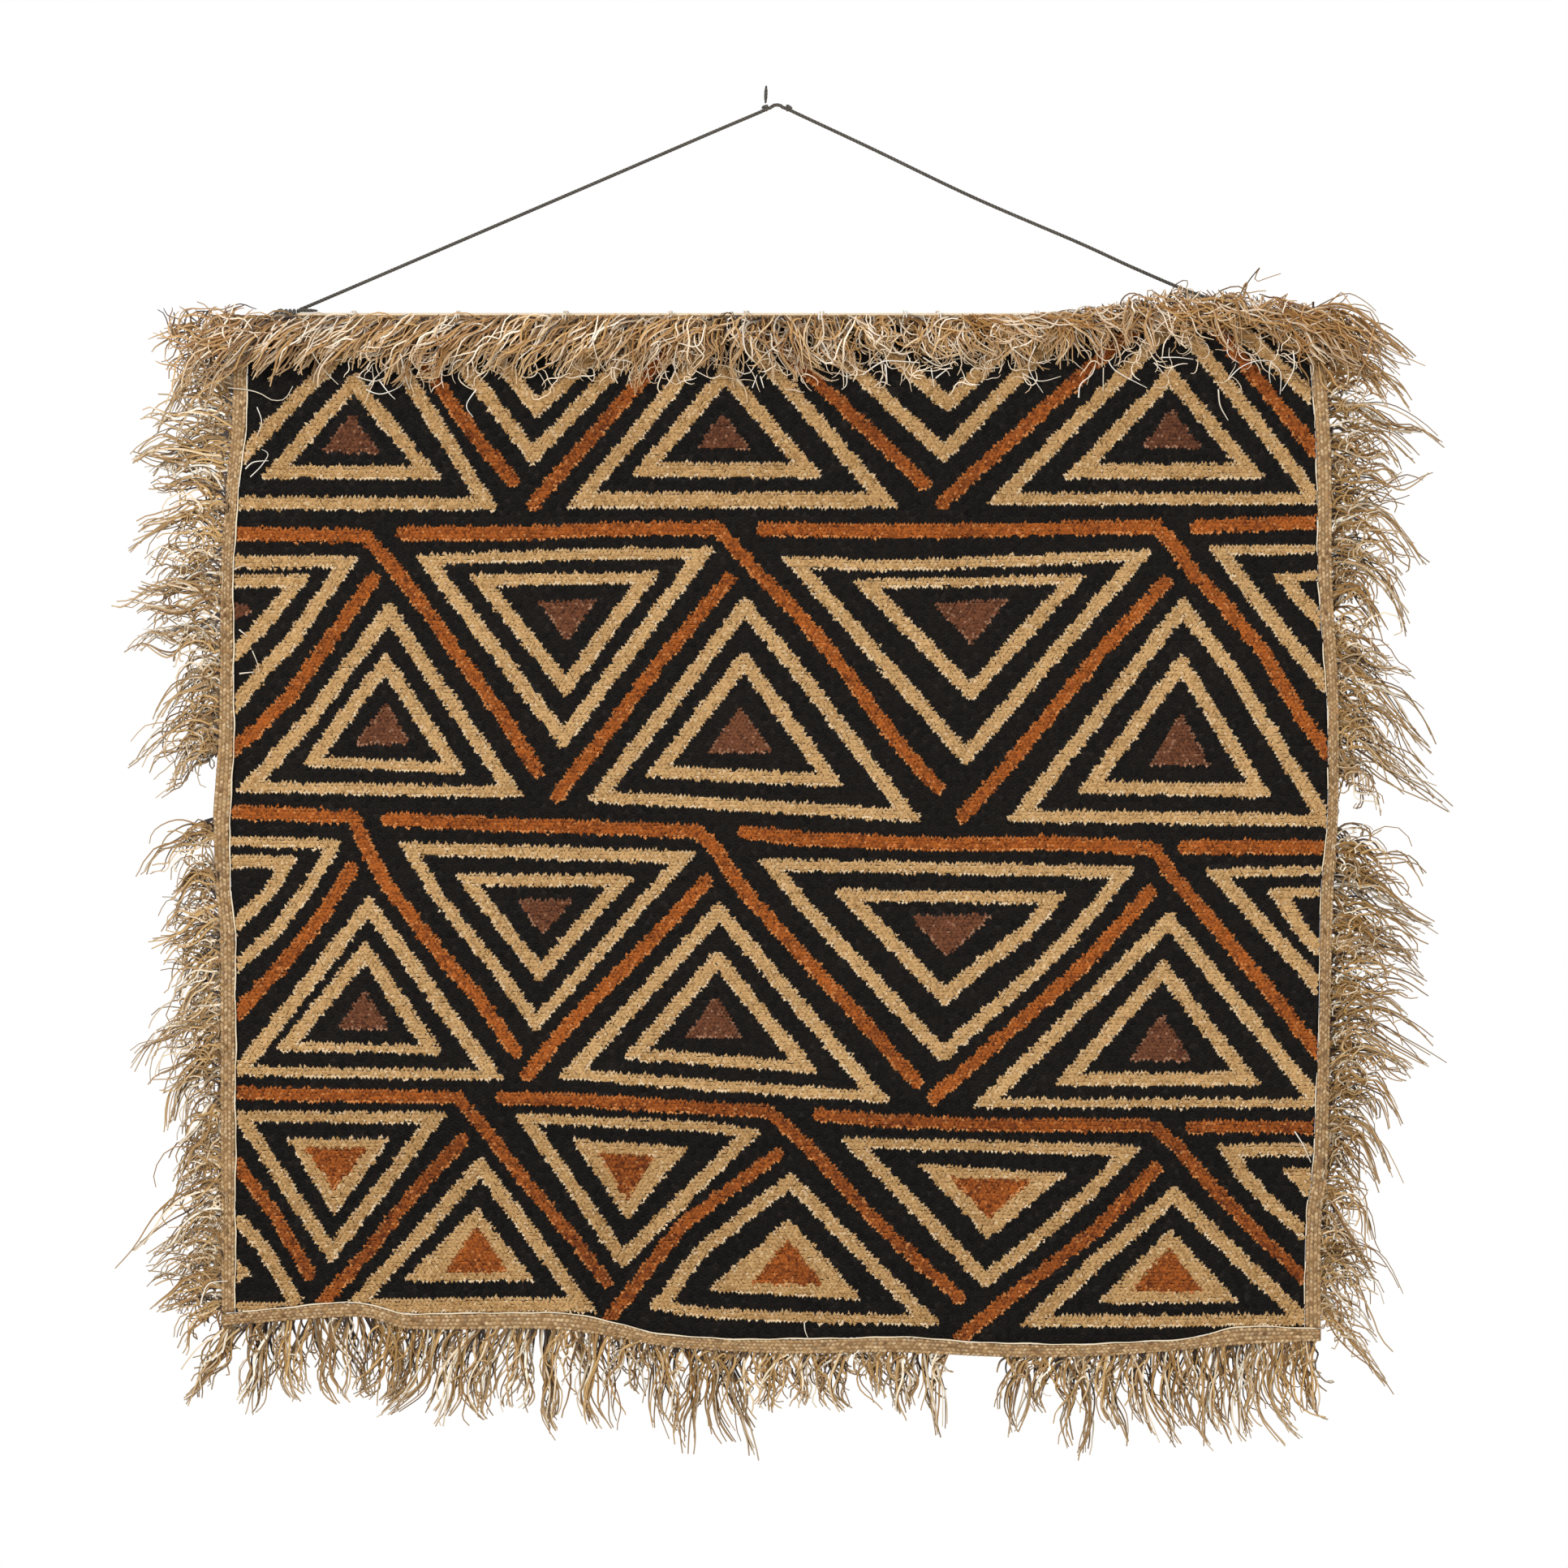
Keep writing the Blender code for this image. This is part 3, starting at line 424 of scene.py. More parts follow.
TOP_LOCKS = rows_of(Lock, """
    -325 -310 -346 -146 -364 -167 3
    -308 -296 -328 -156 -348 -181 2
    -294 -277 -309 -152 -324 -172 0
    -275 -260 -289 -152 -303 -172 0
    -258 -240 -271 -151 -284 -168 0
    -238 -222 -250 -149 -263 -164 0
    -220 -202 -232 -151 -243 -173 0
    -200 -184 -211 -151 -225 -166 0
    -182 -164 -191 -151 -208 -170 0
    -162 -146 -171 -151 -186 -164 0
    -144 -126 -151 -151 -168 -171 0
    -122 -106 -126 -151 -142 -168 0
    -104 -86 -98 -149 -108 -164 0
    -84 -68 -78 -151 -80 -176 0
    -66 -50 -59 -150 -60 -171 0
    -48 -30 -38 -149 -40 -166 0
    -26 -6 -15 -149 -13 -171 0
    -2 18 12 -151 24 -171 0
    22 42 35 -151 46 -166 0
    48 74 62 -144 69 -156 0
    78 104 97 -146 108 -158 0
    108 134 122 -146 131 -158 0
    138 160 151 -150 149 -163 2
    164 186 173 -147 170 -165 4
    190 210 198 -143 195 -158 6
    214 234 222 -139 218 -150 14
    238 258 249 -137 258 -146 18
    262 284 279 -138 292 -147 15
    288 305 308 -140 328 -153 9
    307 316 338 -150 362 -171 6
    317 328 356 -138 392 -161 5
""")

# Loose pale threads that lie on the pile, each as x and z pairs along it
LOOSE_THREADS = (
    "-337 -175, -324 -176.5, -316 -179, -310 -182.5, -302 -182, -297 -174",
    "-268 -133, -275 -144, -285 -150, -283 -156, -277 -165, -269 -173",
    "-230 -155, -227 -170, -225 -176",
    "-323 -230, -316 -223, -312 -216, -316 -213",
    "-326 -225, -321 -221, -312 -220",
    "-319 -187, -316 -196, -319 -205",
    "-330 -324, -325 -328",
    "-322 -337, -319 -344, -318 -350",
    "-330 -351, -321 -350",
    "-333 -287, -326 -284",
    "278 -146, 278 -155, 285 -160",
    "279 -170, 286 -163, 296 -159, 305 -159",
    "305 -159, 304 -166, 305 -172",
    "305 -160, 311 -166, 311 -179",
    "273 -176, 274 -186, 279 -195",
    "318 -153, 319 -164, 312 -177",
    "327 -155, 331 -163, 330 -170",
    "205 -159, 210 -165, 229 -175",
    "187 -181, 188 -173, 195 -167, 197 -161",
    "202 -163, 202 -177",
    "237 -157, 247 -157, 257 -158",
    "233 -160, 239 -166",
    "-38 -161, -30 -162, -18 -167, -14 -164, -6 -155, 5 -147",
    "-14 -175, -11 -167",
    "-9 -168, -7 -175",
    "57 -139, 64 -144, 77 -144",
    "29 -148, 35 -159, 39 -163",
    "44 -165, 44 -173, 41 -176",
    "54 -167, 63 -161, 69 -159, 89 -160",
    "68 -161, 69 -172",
    "91 -157, 101 -162, 111 -159",
    "96 -163, 98 -175",
    "99 -169, 107 -163",
    "12 -170, 14 -159, 16 -146",
    "-258 -168, -246 -171, -236 -166",
    "-252 -176, -243 -179, -232 -175, -228 -170",
    "-244 -170, -238 -178, -234 -182",
    "-250 -173, -240 -164, -231 -161",
    "-112 -146, -109 -158, -104 -165",
    "-100 -158, -88 -160, -82 -168",
    "-60 -150, -62 -162, -58 -173",
    "18 -751, 18.5 -756, 20.5 -761",
    "-354 -740, -349 -727, -337 -725",
    "320 -633, 325 -641, 330 -652",
    "-184 -176, -190 -186, -186 -193",
    "146 -152, 158 -160, 170 -158",
    "152 -166, 163 -171, 176 -168",
    "160 -150, 156 -163, 165 -178",
)


class Sewing(NamedTuple):
    """A stitch of raffia round the rod and through the top edge."""

    x: float
    lean: float


ROD_STITCHES = rows_of(Sewing, """
    -262 1.5
    -196 -1
    -131 2
    -66 1
    -20.5 4
    26.5 3
    79 1.5
    101 -3
    160 2
    222 1
    285 -2
""")

# The hanging cord, in order along it, and its free ends
CORD_ROUTE = groups_of(
    "-294.3 -125.4, -286 -122.2, -220 -93.9, -110 -46.6, -40 -16.4, -9.4 -3.4, -6 -1.6, -2.9 -0.6, "
    "-0.8 0.9, 1.2 1.15, 3.2 0.8, 5.1 -0.6, 8.3 -1.4, 11.4 -3.2, 60 -26, "
    "122.5 -56, 187.5 -84, 222.5 -100, 259.5 -115.5, 290 -124.6, 310.6 -126"
)
KNOT_TAIL = groups_of("-5.9 2.2, -5.8 6, -5.5 13")

# Each tie's two ends, as x, y and z, before and after its turns round the rod
LEFT_TIE = (
    groups_of("-311.5 -5 -131.6, -309 -4.6 -129, -306.5 -2.6 -126.4"),
    groups_of("-293 -1.2 -126.2, -288.5 -1 -126.2, -283 -1.2 -126.3"),
)
RIGHT_TIE = (
    groups_of("309 -2 -126.6, 310 -1.4 -126.2"),
    groups_of("323 -2.2 -124, 326.5 -4 -126.6, 331 -5 -128.6"),
)


# Reading the cloth's shape


@dataclass(frozen=True)
class EdgeLine:
    """One column of an edge table, read on a smooth curve through its rows."""

    rows: tuple[EdgePoint, ...]
    column: str = "edge"

    def read(self, along: Floats | float) -> Floats:
        """Read the column.

        Args:
            along: places along the edge, in mm.

        Returns:
            The column's value at each place.
        """
        spots = np.array([row.along for row in self.rows])
        values = np.array([getattr(row, self.column) for row in self.rows])
        along = np.asarray(along, dtype=float)
        if spots[0] > spots[-1]:
            spots, along = -spots, -along
        along = np.clip(along, spots[0], spots[-1])
        order = np.arange(len(spots))
        before, after = np.maximum(order - 1, 0), np.minimum(order + 1, len(spots) - 1)
        slopes = (values[after] - values[before]) / (spots[after] - spots[before])
        index = np.clip(np.searchsorted(spots, along, side="right") - 1, 0, len(spots) - 2)
        span = spots[index + 1] - spots[index]
        share = (along - spots[index]) / span
        rest, blend = 1.0 - share, ease(share, 0.0, 1.0)
        bow = span * share * rest * (slopes[index] * rest - slopes[index + 1] * share)
        return values[index] + blend * (values[index + 1] - values[index]) + bow


@dataclass(frozen=True)
class ClothFace:
    """The face plane of the hanging cloth: its outline and its soft folds."""

    front_y: float = -10.2
    top_z: float = -136.4
    head_z: float = -130.0
    gap: float = 0.3
    left: EdgeLine = EdgeLine(LEFT_EDGE)
    right: EdgeLine = EdgeLine(RIGHT_EDGE)
    foot: EdgeLine = EdgeLine(BOTTOM_EDGE)

    def forward(self, x: Floats, z: Floats) -> Floats:
        """Say how far the soft folds bring the cloth forward at places of its face.

        Args:
            x: the places' x.
            z: the places' z.

        Returns:
            How far forward each place is, in mm.
        """
        total = np.zeros(np.broadcast(x, z).shape)
        for fold in SOFT_FOLDS:
            across, upward = (x - fold.x) / fold.half_width, (z - fold.z) / fold.half_height
            total = total + fold.forward * np.exp(-(across * across + upward * upward))
        return total

    def front(self, x: Floats, z: Floats) -> Floats:
        """Give the front y of the panel at places of its face."""
        return self.front_y - self.forward(np.asarray(x, float), np.asarray(z, float))

    def foot_corners(self) -> tuple[float, float]:
        """Give the x of the panel's two lower corners."""
        return LEFT_EDGE[-1].edge, RIGHT_EDGE[-1].edge

    def patch(self, across: Floats, down: Floats) -> tuple[Floats, Floats]:
        """Spread shares across and down over the panel's outline.

        Args:
            across: shares from the left edge to the right edge.
            down: shares from the head to the foot.

        Returns:
            The x and the z of each point.
        """
        foot_left, foot_right = self.foot_corners()
        foot_left_z, foot_right_z = float(self.foot.read(foot_left)), float(self.foot.read(foot_right))
        left_z = self.top_z + (foot_left_z - self.top_z) * down
        right_z = self.top_z + (foot_right_z - self.top_z) * down
        left_x, right_x = self.left.read(left_z), self.right.read(right_z)
        foot_x = foot_left + (foot_right - foot_left) * across
        sag = self.foot.read(foot_x) - (foot_left_z + (foot_right_z - foot_left_z) * across)
        return left_x + (right_x - left_x) * across, left_z + (right_z - left_z) * across + sag * down

    def inside(self, x: Floats, z: Floats, margin: float) -> Marks:
        """Say which places lie on the panel, a margin in from its edges."""
        wide = (x > self.left.read(z) + margin) & (x < self.right.read(z) - margin)
        return wide & (z < self.top_z - margin) & (z > self.foot.read(x) + margin)


FACE = ClothFace()


# The charted pattern


class Dye(Enum):
    """The four colours of the pile."""

    BLACK = "black"
    TAN = "tan"
    TERRACOTTA = "terracotta"
    BROWN = "brown"


class Form(Enum):
    """How a charted figure is filled."""

    RING = "ring"
    PATCH = "patch"
    LINE = "line"


@dataclass(frozen=True)
class Figure:
    """One charted figure: its corners, its dye and how it is filled."""

    corners: Points
    dye: Dye
    form: Form
    widths: tuple[float, ...]

    @staticmethod
    def read(row: str, dye: Dye, form: Form, usual: tuple[float, ...]) -> "Figure":
        """Read a figure from a chart row of x and z pairs, and of its own widths after a bar."""
        places, _, own = row.partition("|")
        widths = tuple(float(word) for word in own.split())
        return Figure(np.array(groups_of(places)), dye, form, widths + usual[len(widths):])


@dataclass
class Stitched:
    """What the chart says of each place: its dye, and the way to its figure's edge."""

    dye: Marks
    rim: Floats
    out_x: Floats
    out_z: Floats


@dataclass(frozen=True)
class Chart:
    """The whole pattern, read figure by figure, the later ones over the earlier."""

    base_width: float = 8.0
    leg_width: float = 9.2
    line_half: float = 4.4
    ring_radius: float = 3.0
    patch_radius: float = 1.8
    reach: float = 6.0
    far_in: float = 9.0

    def figures(self) -> list[Figure]:
        """List every figure in the order in which they are stitched."""
        groups = (
            (TERRACOTTA_LINES, Dye.TERRACOTTA, Form.LINE),
            (TAN_LINES, Dye.TAN, Form.LINE),
            (TAN_RINGS, Dye.TAN, Form.RING),
            (TAN_PATCHES, Dye.TAN, Form.PATCH),
            (BROWN_PATCHES, Dye.BROWN, Form.PATCH),
            (TERRACOTTA_PATCHES, Dye.TERRACOTTA, Form.PATCH),
        )
        ring = (self.base_width, self.leg_width)
        usual = {Form.LINE: (self.line_half,), Form.RING: ring, Form.PATCH: ()}
        return [Figure.read(row, dye, form, usual[form]) for rows, dye, form in groups for row in rows]

    @staticmethod
    def to_edge(x: Floats, z: Floats, start: Points, end: Points) -> tuple[Floats, Floats, Floats]:
        """Find the way from places to a straight edge.

        Args:
            x: the places' x.
            z: the places' z.
            start: the edge's first end.
            end: the edge's second end.

        Returns:
            The distance, and the x and z parts of the way there.
        """
        run = end - start
        share = ((x - start[0]) * run[0] + (z - start[1]) * run[1]) / float(run @ run)
        share = np.clip(share, 0.0, 1.0)
        way_x, way_z = start[0] + share * run[0] - x, start[1] + share * run[1] - z
        return np.hypot(way_x, way_z), way_x, way_z

    def read(self, x: Floats, z: Floats) -> Stitched:
        """Say what is stitched at each place.

        Args:
            x: the places' x.
            z: the places' z.

        Returns:
            What the chart says of each place.
        """
        found = Stitched(
            np.full(x.shape, Dye.BLACK, dtype=object), np.full(x.shape, self.far_in),
            np.zeros(x.shape), np.zeros(x.shape),
        )
        for figure in self.figures():
            low, high = figure.corners.min(axis=0) - self.reach, figure.corners.max(axis=0) + self.reach
            near = np.flatnonzero((x > low[0]) & (x < high[0]) & (z > low[1]) & (z < high[1]))
            if near.size:
                self.stitch(figure, near, x[near], z[near], found)
        return found

    def stitch(self, figure: Figure, near: Marks, x: Floats, z: Floats, found: Stitched) -> None:
        """Stitch one figure over what is there.

        Args:
            figure: the figure.
            near: the numbers of the places near it.
            x: their x.
            z: their z.
            found: what is stitched at every place, which it changes.
        """
        if figure.form is Form.LINE:
            inside, rim, out_x, out_z = self.line_at(figure, x, z)
        else:
            inside, rim, out_x, out_z = self.outline_at(figure, x, z)
        spots = near[inside]
        found.dye[spots] = figure.dye
        found.rim[spots] = rim[inside]
        found.out_x[spots] = out_x[inside]
        found.out_z[spots] = out_z[inside]

    def line_at(self, figure: Figure, x: Floats, z: Floats) -> tuple[Marks, Floats, Floats, Floats]:
        """Read a line.

        Args:
            figure: the line.
            x: the places' x.
            z: the places' z.

        Returns:
            Which places are on it, how far in, and the x and z of the way out.
        """
        best, way_x, way_z = np.full(x.shape, 1e9), np.zeros(x.shape), np.zeros(x.shape)
        for start, end in zip(figure.corners, figure.corners[1:]):
            length, part_x, part_z = self.to_edge(x, z, start, end)
            closer = length < best
            best = np.where(closer, length, best)
            way_x, way_z = np.where(closer, part_x, way_x), np.where(closer, part_z, way_z)
        scale = np.maximum(best, 1e-6)
        half = figure.widths[0]
        return best < half, half - best, -way_x / scale, -way_z / scale

    def outline_at(self, figure: Figure, x: Floats, z: Floats) -> tuple[Marks, Floats, Floats, Floats]:
        """Read a ring or a patch.

        Args:
            figure: the ring or the patch.
            x: the places' x.
            z: the places' z.

        Returns:
            Which places are in it, how far in, and the x and z of the way out.
        """
        is_ring = figure.form is Form.RING
        odd = np.zeros(x.shape, dtype=bool)
        ways, widths = [], []
        for start, end in zip(figure.corners, np.roll(figure.corners, -1, axis=0)):
            run_x, run_z = end - start
            crosses = (start[1] > z) != (end[1] > z)
            odd ^= crosses & (x < start[0] + (z - start[1]) / (run_z or 1e-9) * run_x)
            ways.append(self.to_edge(x, z, start, end))
            flat = abs(run_z) < 0.25 * abs(run_x)
            widths.append(figure.widths[0 if flat else 1] if is_ring else 0.0)
        lengths, ways_x, ways_z = np.array(ways).transpose(1, 0, 2)
        nearest, second = np.argsort(lengths, axis=0)[:2]
        column = np.arange(x.size)
        first = lengths[nearest, column]
        radius = self.ring_radius if is_ring else self.patch_radius
        short = np.maximum(radius - first, 0.0)
        other = np.maximum(radius - lengths[second, column], 0.0)
        odd &= np.hypot(short, other) < radius
        scale = np.maximum(first, 1e-6)
        out_x, out_z = ways_x[nearest, column] / scale, ways_z[nearest, column] / scale
        if not is_ring:
            return odd, first, out_x, out_z
        slack = np.array(widths)[:, None] - lengths
        inner, deep = slack.max(axis=0), slack.argmax(axis=0)
        away = np.maximum(lengths[deep, column], 1e-6)
        in_x, in_z = -ways_x[deep, column] / away, -ways_z[deep, column] / away
        turned, rim = inner < first, np.minimum(first, inner)
        return odd & (inner > 0.0), rim, np.where(turned, in_x, out_x), np.where(turned, in_z, out_z)


# Making meshes


def plain_mesh(name: str, points: Points, faces: Sequence[Sequence[int]]) -> Mesh:
    """Make a closed mesh whose faces point outwards.

    Args:
        name: the mesh's name.
        points: its points in mm.
        faces: its faces as rows of point numbers.

    Returns:
        The mesh, in metres.
    """
    mesh = bpy.data.meshes.new(name)
    mesh.from_pydata((np.asarray(points) * MM).tolist(), [], [list(face) for face in faces])
    shape = bmesh.new()
    shape.from_mesh(mesh)
    bmesh.ops.recalc_face_normals(shape, faces=shape.faces[:])
    shape.to_mesh(mesh)
    shape.free()
    mesh.update()
    return mesh


def bare_points(name: str, points: Points) -> Mesh:
    """Make a mesh of bare points, given in mm."""
    mesh = bpy.data.meshes.new(name)
    mesh.vertices.add(len(points))
    mesh.vertices.foreach_set("co", (points * MM).astype(np.float32).ravel())
    return mesh


def slab_faces(rows: int, columns: int) -> tuple[list[tuple[int, ...]], int]:
    """List the faces of a closed slab of two grids of points, the front grid first.

    Args:
        rows: how many rows of points a grid has.
        columns: how many columns of points a grid has.

    Returns:
        The faces, and how many of them, at the start, are the front's.
    """
    size = rows * columns
    corners = [row * columns + column for row in range(rows - 1) for column in range(columns - 1)]
    front = [(a, a + 1, a + columns + 1, a + columns) for a in corners]
    back = [tuple(size + index for index in reversed(quad)) for quad in front]
    ring = list(range(columns))
    ring += [row * columns + columns - 1 for row in range(1, rows)]
    ring += [(rows - 1) * columns + column for column in range(columns - 2, -1, -1)]
    ring += [row * columns for row in range(rows - 2, 0, -1)]
    rim = [(a, size + a, size + b, b) for a, b in zip(ring, ring[1:] + ring[:1])]
    return front + back + rim, len(front)


def tube_faces(rings: int, sides: int) -> list[tuple[int, ...]]:
    """List the faces of a closed tube of rings of points.

    Args:
        rings: how many rings the tube has.
        sides: how many points a ring has.

    Returns:
        The faces, with those of the two ends last.
    """
    faces: list[tuple[int, ...]] = []
    last = (rings - 1) * sides
    for base in range(0, last, sides):
        over = base + sides
        for side in range(sides):
            after = (side + 1) % sides
            faces.append((base + side, base + after, over + after, over + side))
    return faces + [tuple(range(sides)), tuple(range(last, last + sides))]


def add_values(mesh: Mesh, **values: Floats) -> None:
    """Store a value, or a vector, for every point of a mesh under each name."""
    for name, rows in values.items():
        kind, part = ("FLOAT_VECTOR", "vector") if np.ndim(rows) == 2 else ("FLOAT", "value")
        store = mesh.attributes.new(name, kind, "POINT")
        store.data.foreach_set(part, np.ascontiguousarray(rows, np.float32).ravel())


def new_object(name: str, data: bpy.types.ID) -> Thing:
    """Put a mesh, a camera or a lamp into the scene as an object at the origin."""
    thing = bpy.data.objects.new(name, data)
    bpy.context.scene.collection.objects.link(thing)
    return thing


def finish_piece(
    thing: Thing, replaced: Iterable[str] = (),
    finish: Material | None = None,
) -> Thing:
    """Give a piece its finish, its body and the nodes it stands for.

    Args:
        thing: the piece.
        replaced: the nodes that it stands for.
        finish: its material, where it doesn't have one yet.

    Returns:
        The piece.
    """
    if finish is not None:
        thing.data.materials.clear()
        thing.data.materials.append(finish)
    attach(thing, BODY)
    nodes = tuple(replaced)
    if nodes:
        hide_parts(*nodes)
    LOG.info("%s: %d faces", thing.name, len(thing.data.polygons))
    return thing


# Node trees


def new_group(
    name: str, kind: str, given: Iterable[tuple[str, str, object]], made: Iterable[tuple[str, str]]
) -> bpy.types.NodeTree:
    """Start a node group with named inputs and outputs.

    Args:
        name: the group's name.
        kind: the tree's type.
        given: the name, the kind and the usual value of each input.
        made: the name and the kind of each output.

    Returns:
        The group.
    """
    group = bpy.data.node_groups.new(name, kind)
    for label, sort in made:
        group.interface.new_socket(label, in_out="OUTPUT", socket_type="NodeSocket" + sort)
    for label, sort, value in given:
        socket = group.interface.new_socket(label, in_out="INPUT", socket_type="NodeSocket" + sort)
        if value is not None:
            socket.default_value = value
    return group


class NodeBench:
    """A node tree under construction."""

    tree: bpy.types.NodeTree

    def feed(self, socket: Socket, source: object) -> None:
        """Feed an input from another node's socket, or give it a plain value."""
        if isinstance(source, Socket):
            self.tree.links.new(source, socket)
        else:
            socket.default_value = source

    def add(self, kind: str, feeds: dict[str, object], **settings: object) -> bpy.types.Node:
        """Add a node.

        Args:
            kind: the node's type.
            feeds: what goes into its inputs, by the input's identifier.
            settings: its own properties.

        Returns:
            The node.
        """
        node = self.tree.nodes.new(kind)
        for name, value in settings.items():
            setattr(node, name, value)
        inputs = {socket.identifier: socket for socket in node.inputs}
        for name, source in feeds.items():
            self.feed(inputs[name], source)
        return node


@dataclass
class GrowthTree(NodeBench):
    """A Geometry Nodes tree under construction, with named inputs for its sizes."""

    name: str
    sizes: tuple[tuple[str, str, object], ...]

    def __post_init__(self) -> None:
        """Start the tree with its geometry, its sizes and its finish."""
        given = (("Geometry", "Geometry", None), *self.sizes, ("Finish", "Material", None))
        self.tree = new_group(self.name, "GeometryNodeTree", given, (("Geometry", "Geometry"),))
        self.given = self.tree.nodes.new("NodeGroupInput").outputs
        self.end = self.tree.nodes.new("NodeGroupOutput")

    def value_of(self, name: str, kind: str = "FLOAT") -> Socket:
        """Read a named value of the points."""
        node = self.add("GeometryNodeInputNamedAttribute", {"Name": name}, data_type=kind)
        return next(socket for socket in node.outputs if socket.name == "Attribute" and socket.enabled)

    def close(self, geometry: Socket) -> bpy.types.GeometryNodeTree:
        """End the tree in Realize Instances and Set Material.

        Args:
            geometry: what the tree has made.

        Returns:
            The finished tree.
        """
        real = self.add("GeometryNodeRealizeInstances", {"Geometry": geometry})
        dressed = {"Geometry": real.outputs["Geometry"], "Material": self.given["Finish"]}
        faced = self.add("GeometryNodeSetMaterial", dressed)
        self.tree.links.new(faced.outputs["Geometry"], self.end.inputs[0])
        return self.tree


def bake_tree(
    name: str, source: Thing, tree: bpy.types.GeometryNodeTree, settings: dict[str, object]
) -> Thing:
    """Run a tree on an object and keep the result as a plain mesh.

    Args:
        name: the finished object's name.
        source: the object whose mesh feeds the tree; it is removed.
        tree: the Geometry Nodes tree.
        settings: values of its inputs by name.

    Returns:
        The finished object.
    """
    modifier = source.modifiers.new("made", "NODES")
    modifier.node_group = tree
    for item in tree.interface.items_tree:
        if item.item_type == "SOCKET" and item.in_out == "INPUT" and item.name in settings:
            modifier[item.identifier] = settings[item.name]
    graph = bpy.context.evaluated_depsgraph_get()
    ready = source.evaluated_get(graph)
    mesh = bpy.data.meshes.new_from_object(ready, preserve_all_data_layers=True, depsgraph=graph)
    mesh.name = name
    source.modifiers.remove(modifier)
    bpy.data.objects.remove(source, do_unlink=True)
    return new_object(name, mesh)


@cache
def scatter_tree() -> bpy.types.GeometryNodeTree:
    """Build the tree that sets a unit on every point, turned and sized as the point says."""
    build = GrowthTree("unit_scatter", (
        ("Unit", "Object", None), ("Unit Scale", "Float", 1.0),
        ("Untidiness", "Float", 0.1), ("Seed", "Int", 7),
    ))
    given = build.given
    unit = build.add("GeometryNodeObjectInfo", {"Object": given["Unit"]}, transform_space="ORIGINAL")
    reach = {"Min": (-1.0, -1.0, -1.0), "Max": (1.0, 1.0, 1.0), "Seed": given["Seed"]}
    stray = build.add("FunctionNodeRandomValue", reach, data_type="FLOAT_VECTOR")
    astray = {"Vector": stray.outputs[0], "Scale": given["Untidiness"]}
    strayed = build.add("ShaderNodeVectorMath", astray, operation="SCALE")
    turn = {"Vector": build.value_of("turn", "FLOAT_VECTOR"), "Vector_001": strayed.outputs[0]}
    turned = build.add("ShaderNodeVectorMath", turn, operation="ADD")
    rotation = build.add("FunctionNodeEulerToRotation", {"Euler": turned.outputs[0]})
    scale = {"Vector": build.value_of("size", "FLOAT_VECTOR"), "Scale": given["Unit Scale"]}
    size = build.add("ShaderNodeVectorMath", scale, operation="SCALE")
    placed = build.add("GeometryNodeInstanceOnPoints", {
        "Points": given["Geometry"], "Instance": unit.outputs["Geometry"],
        "Rotation": rotation.outputs[0], "Scale": size.outputs[0],
    })
    return build.close(placed.outputs["Instances"])


@dataclass
class UnitScatter:
    """Sets one small unit on every point: nubs of pile, or strokes of a plait."""

    unit: Thing
    scale: float
    seed: int
    untidiness: float = 0.03

    def make(self, name: str, points: Mesh, finish: Material) -> Thing:
        """Turn a mesh of points into a plain mesh of units."""
        return bake_tree(name, new_object(name + "_points", points), scatter_tree(), {
            "Unit": self.unit, "Unit Scale": self.scale, "Untidiness": self.untidiness,
            "Seed": self.seed, "Finish": finish,
        })


@cache
def strand_tree() -> bpy.types.GeometryNodeTree:
    """Build the tree that gives every line of a mesh a body of its own thickness."""
    build = GrowthTree("strand_spinner", (
        ("Sides", "Int", 3), ("Thickness", "Float", 1.0), ("Smooth", "Bool", False),
    ))
    given = build.given
    lines = build.add("GeometryNodeMeshToCurve", {"Mesh": given["Geometry"]})
    circle = {"Resolution": given["Sides"], "Radius": 1.0}
    profile = build.add("GeometryNodeCurvePrimitiveCircle", circle)
    thickness = {"Value": build.value_of("half"), "Value_001": given["Thickness"]}
    scale = build.add("ShaderNodeMath", thickness, operation="MULTIPLY")
    body = build.add("GeometryNodeCurveToMesh", {
        "Curve": lines.outputs["Curve"], "Profile Curve": profile.outputs["Curve"],
        "Scale": scale.outputs[0],
    })
    body.inputs["Fill Caps"].default_value = True
    rounded = {"Geometry": body.outputs["Mesh"], "Shade Smooth": given["Smooth"]}
    shaded = build.add("GeometryNodeSetShadeSmooth", rounded)
    return build.close(shaded.outputs["Geometry"])


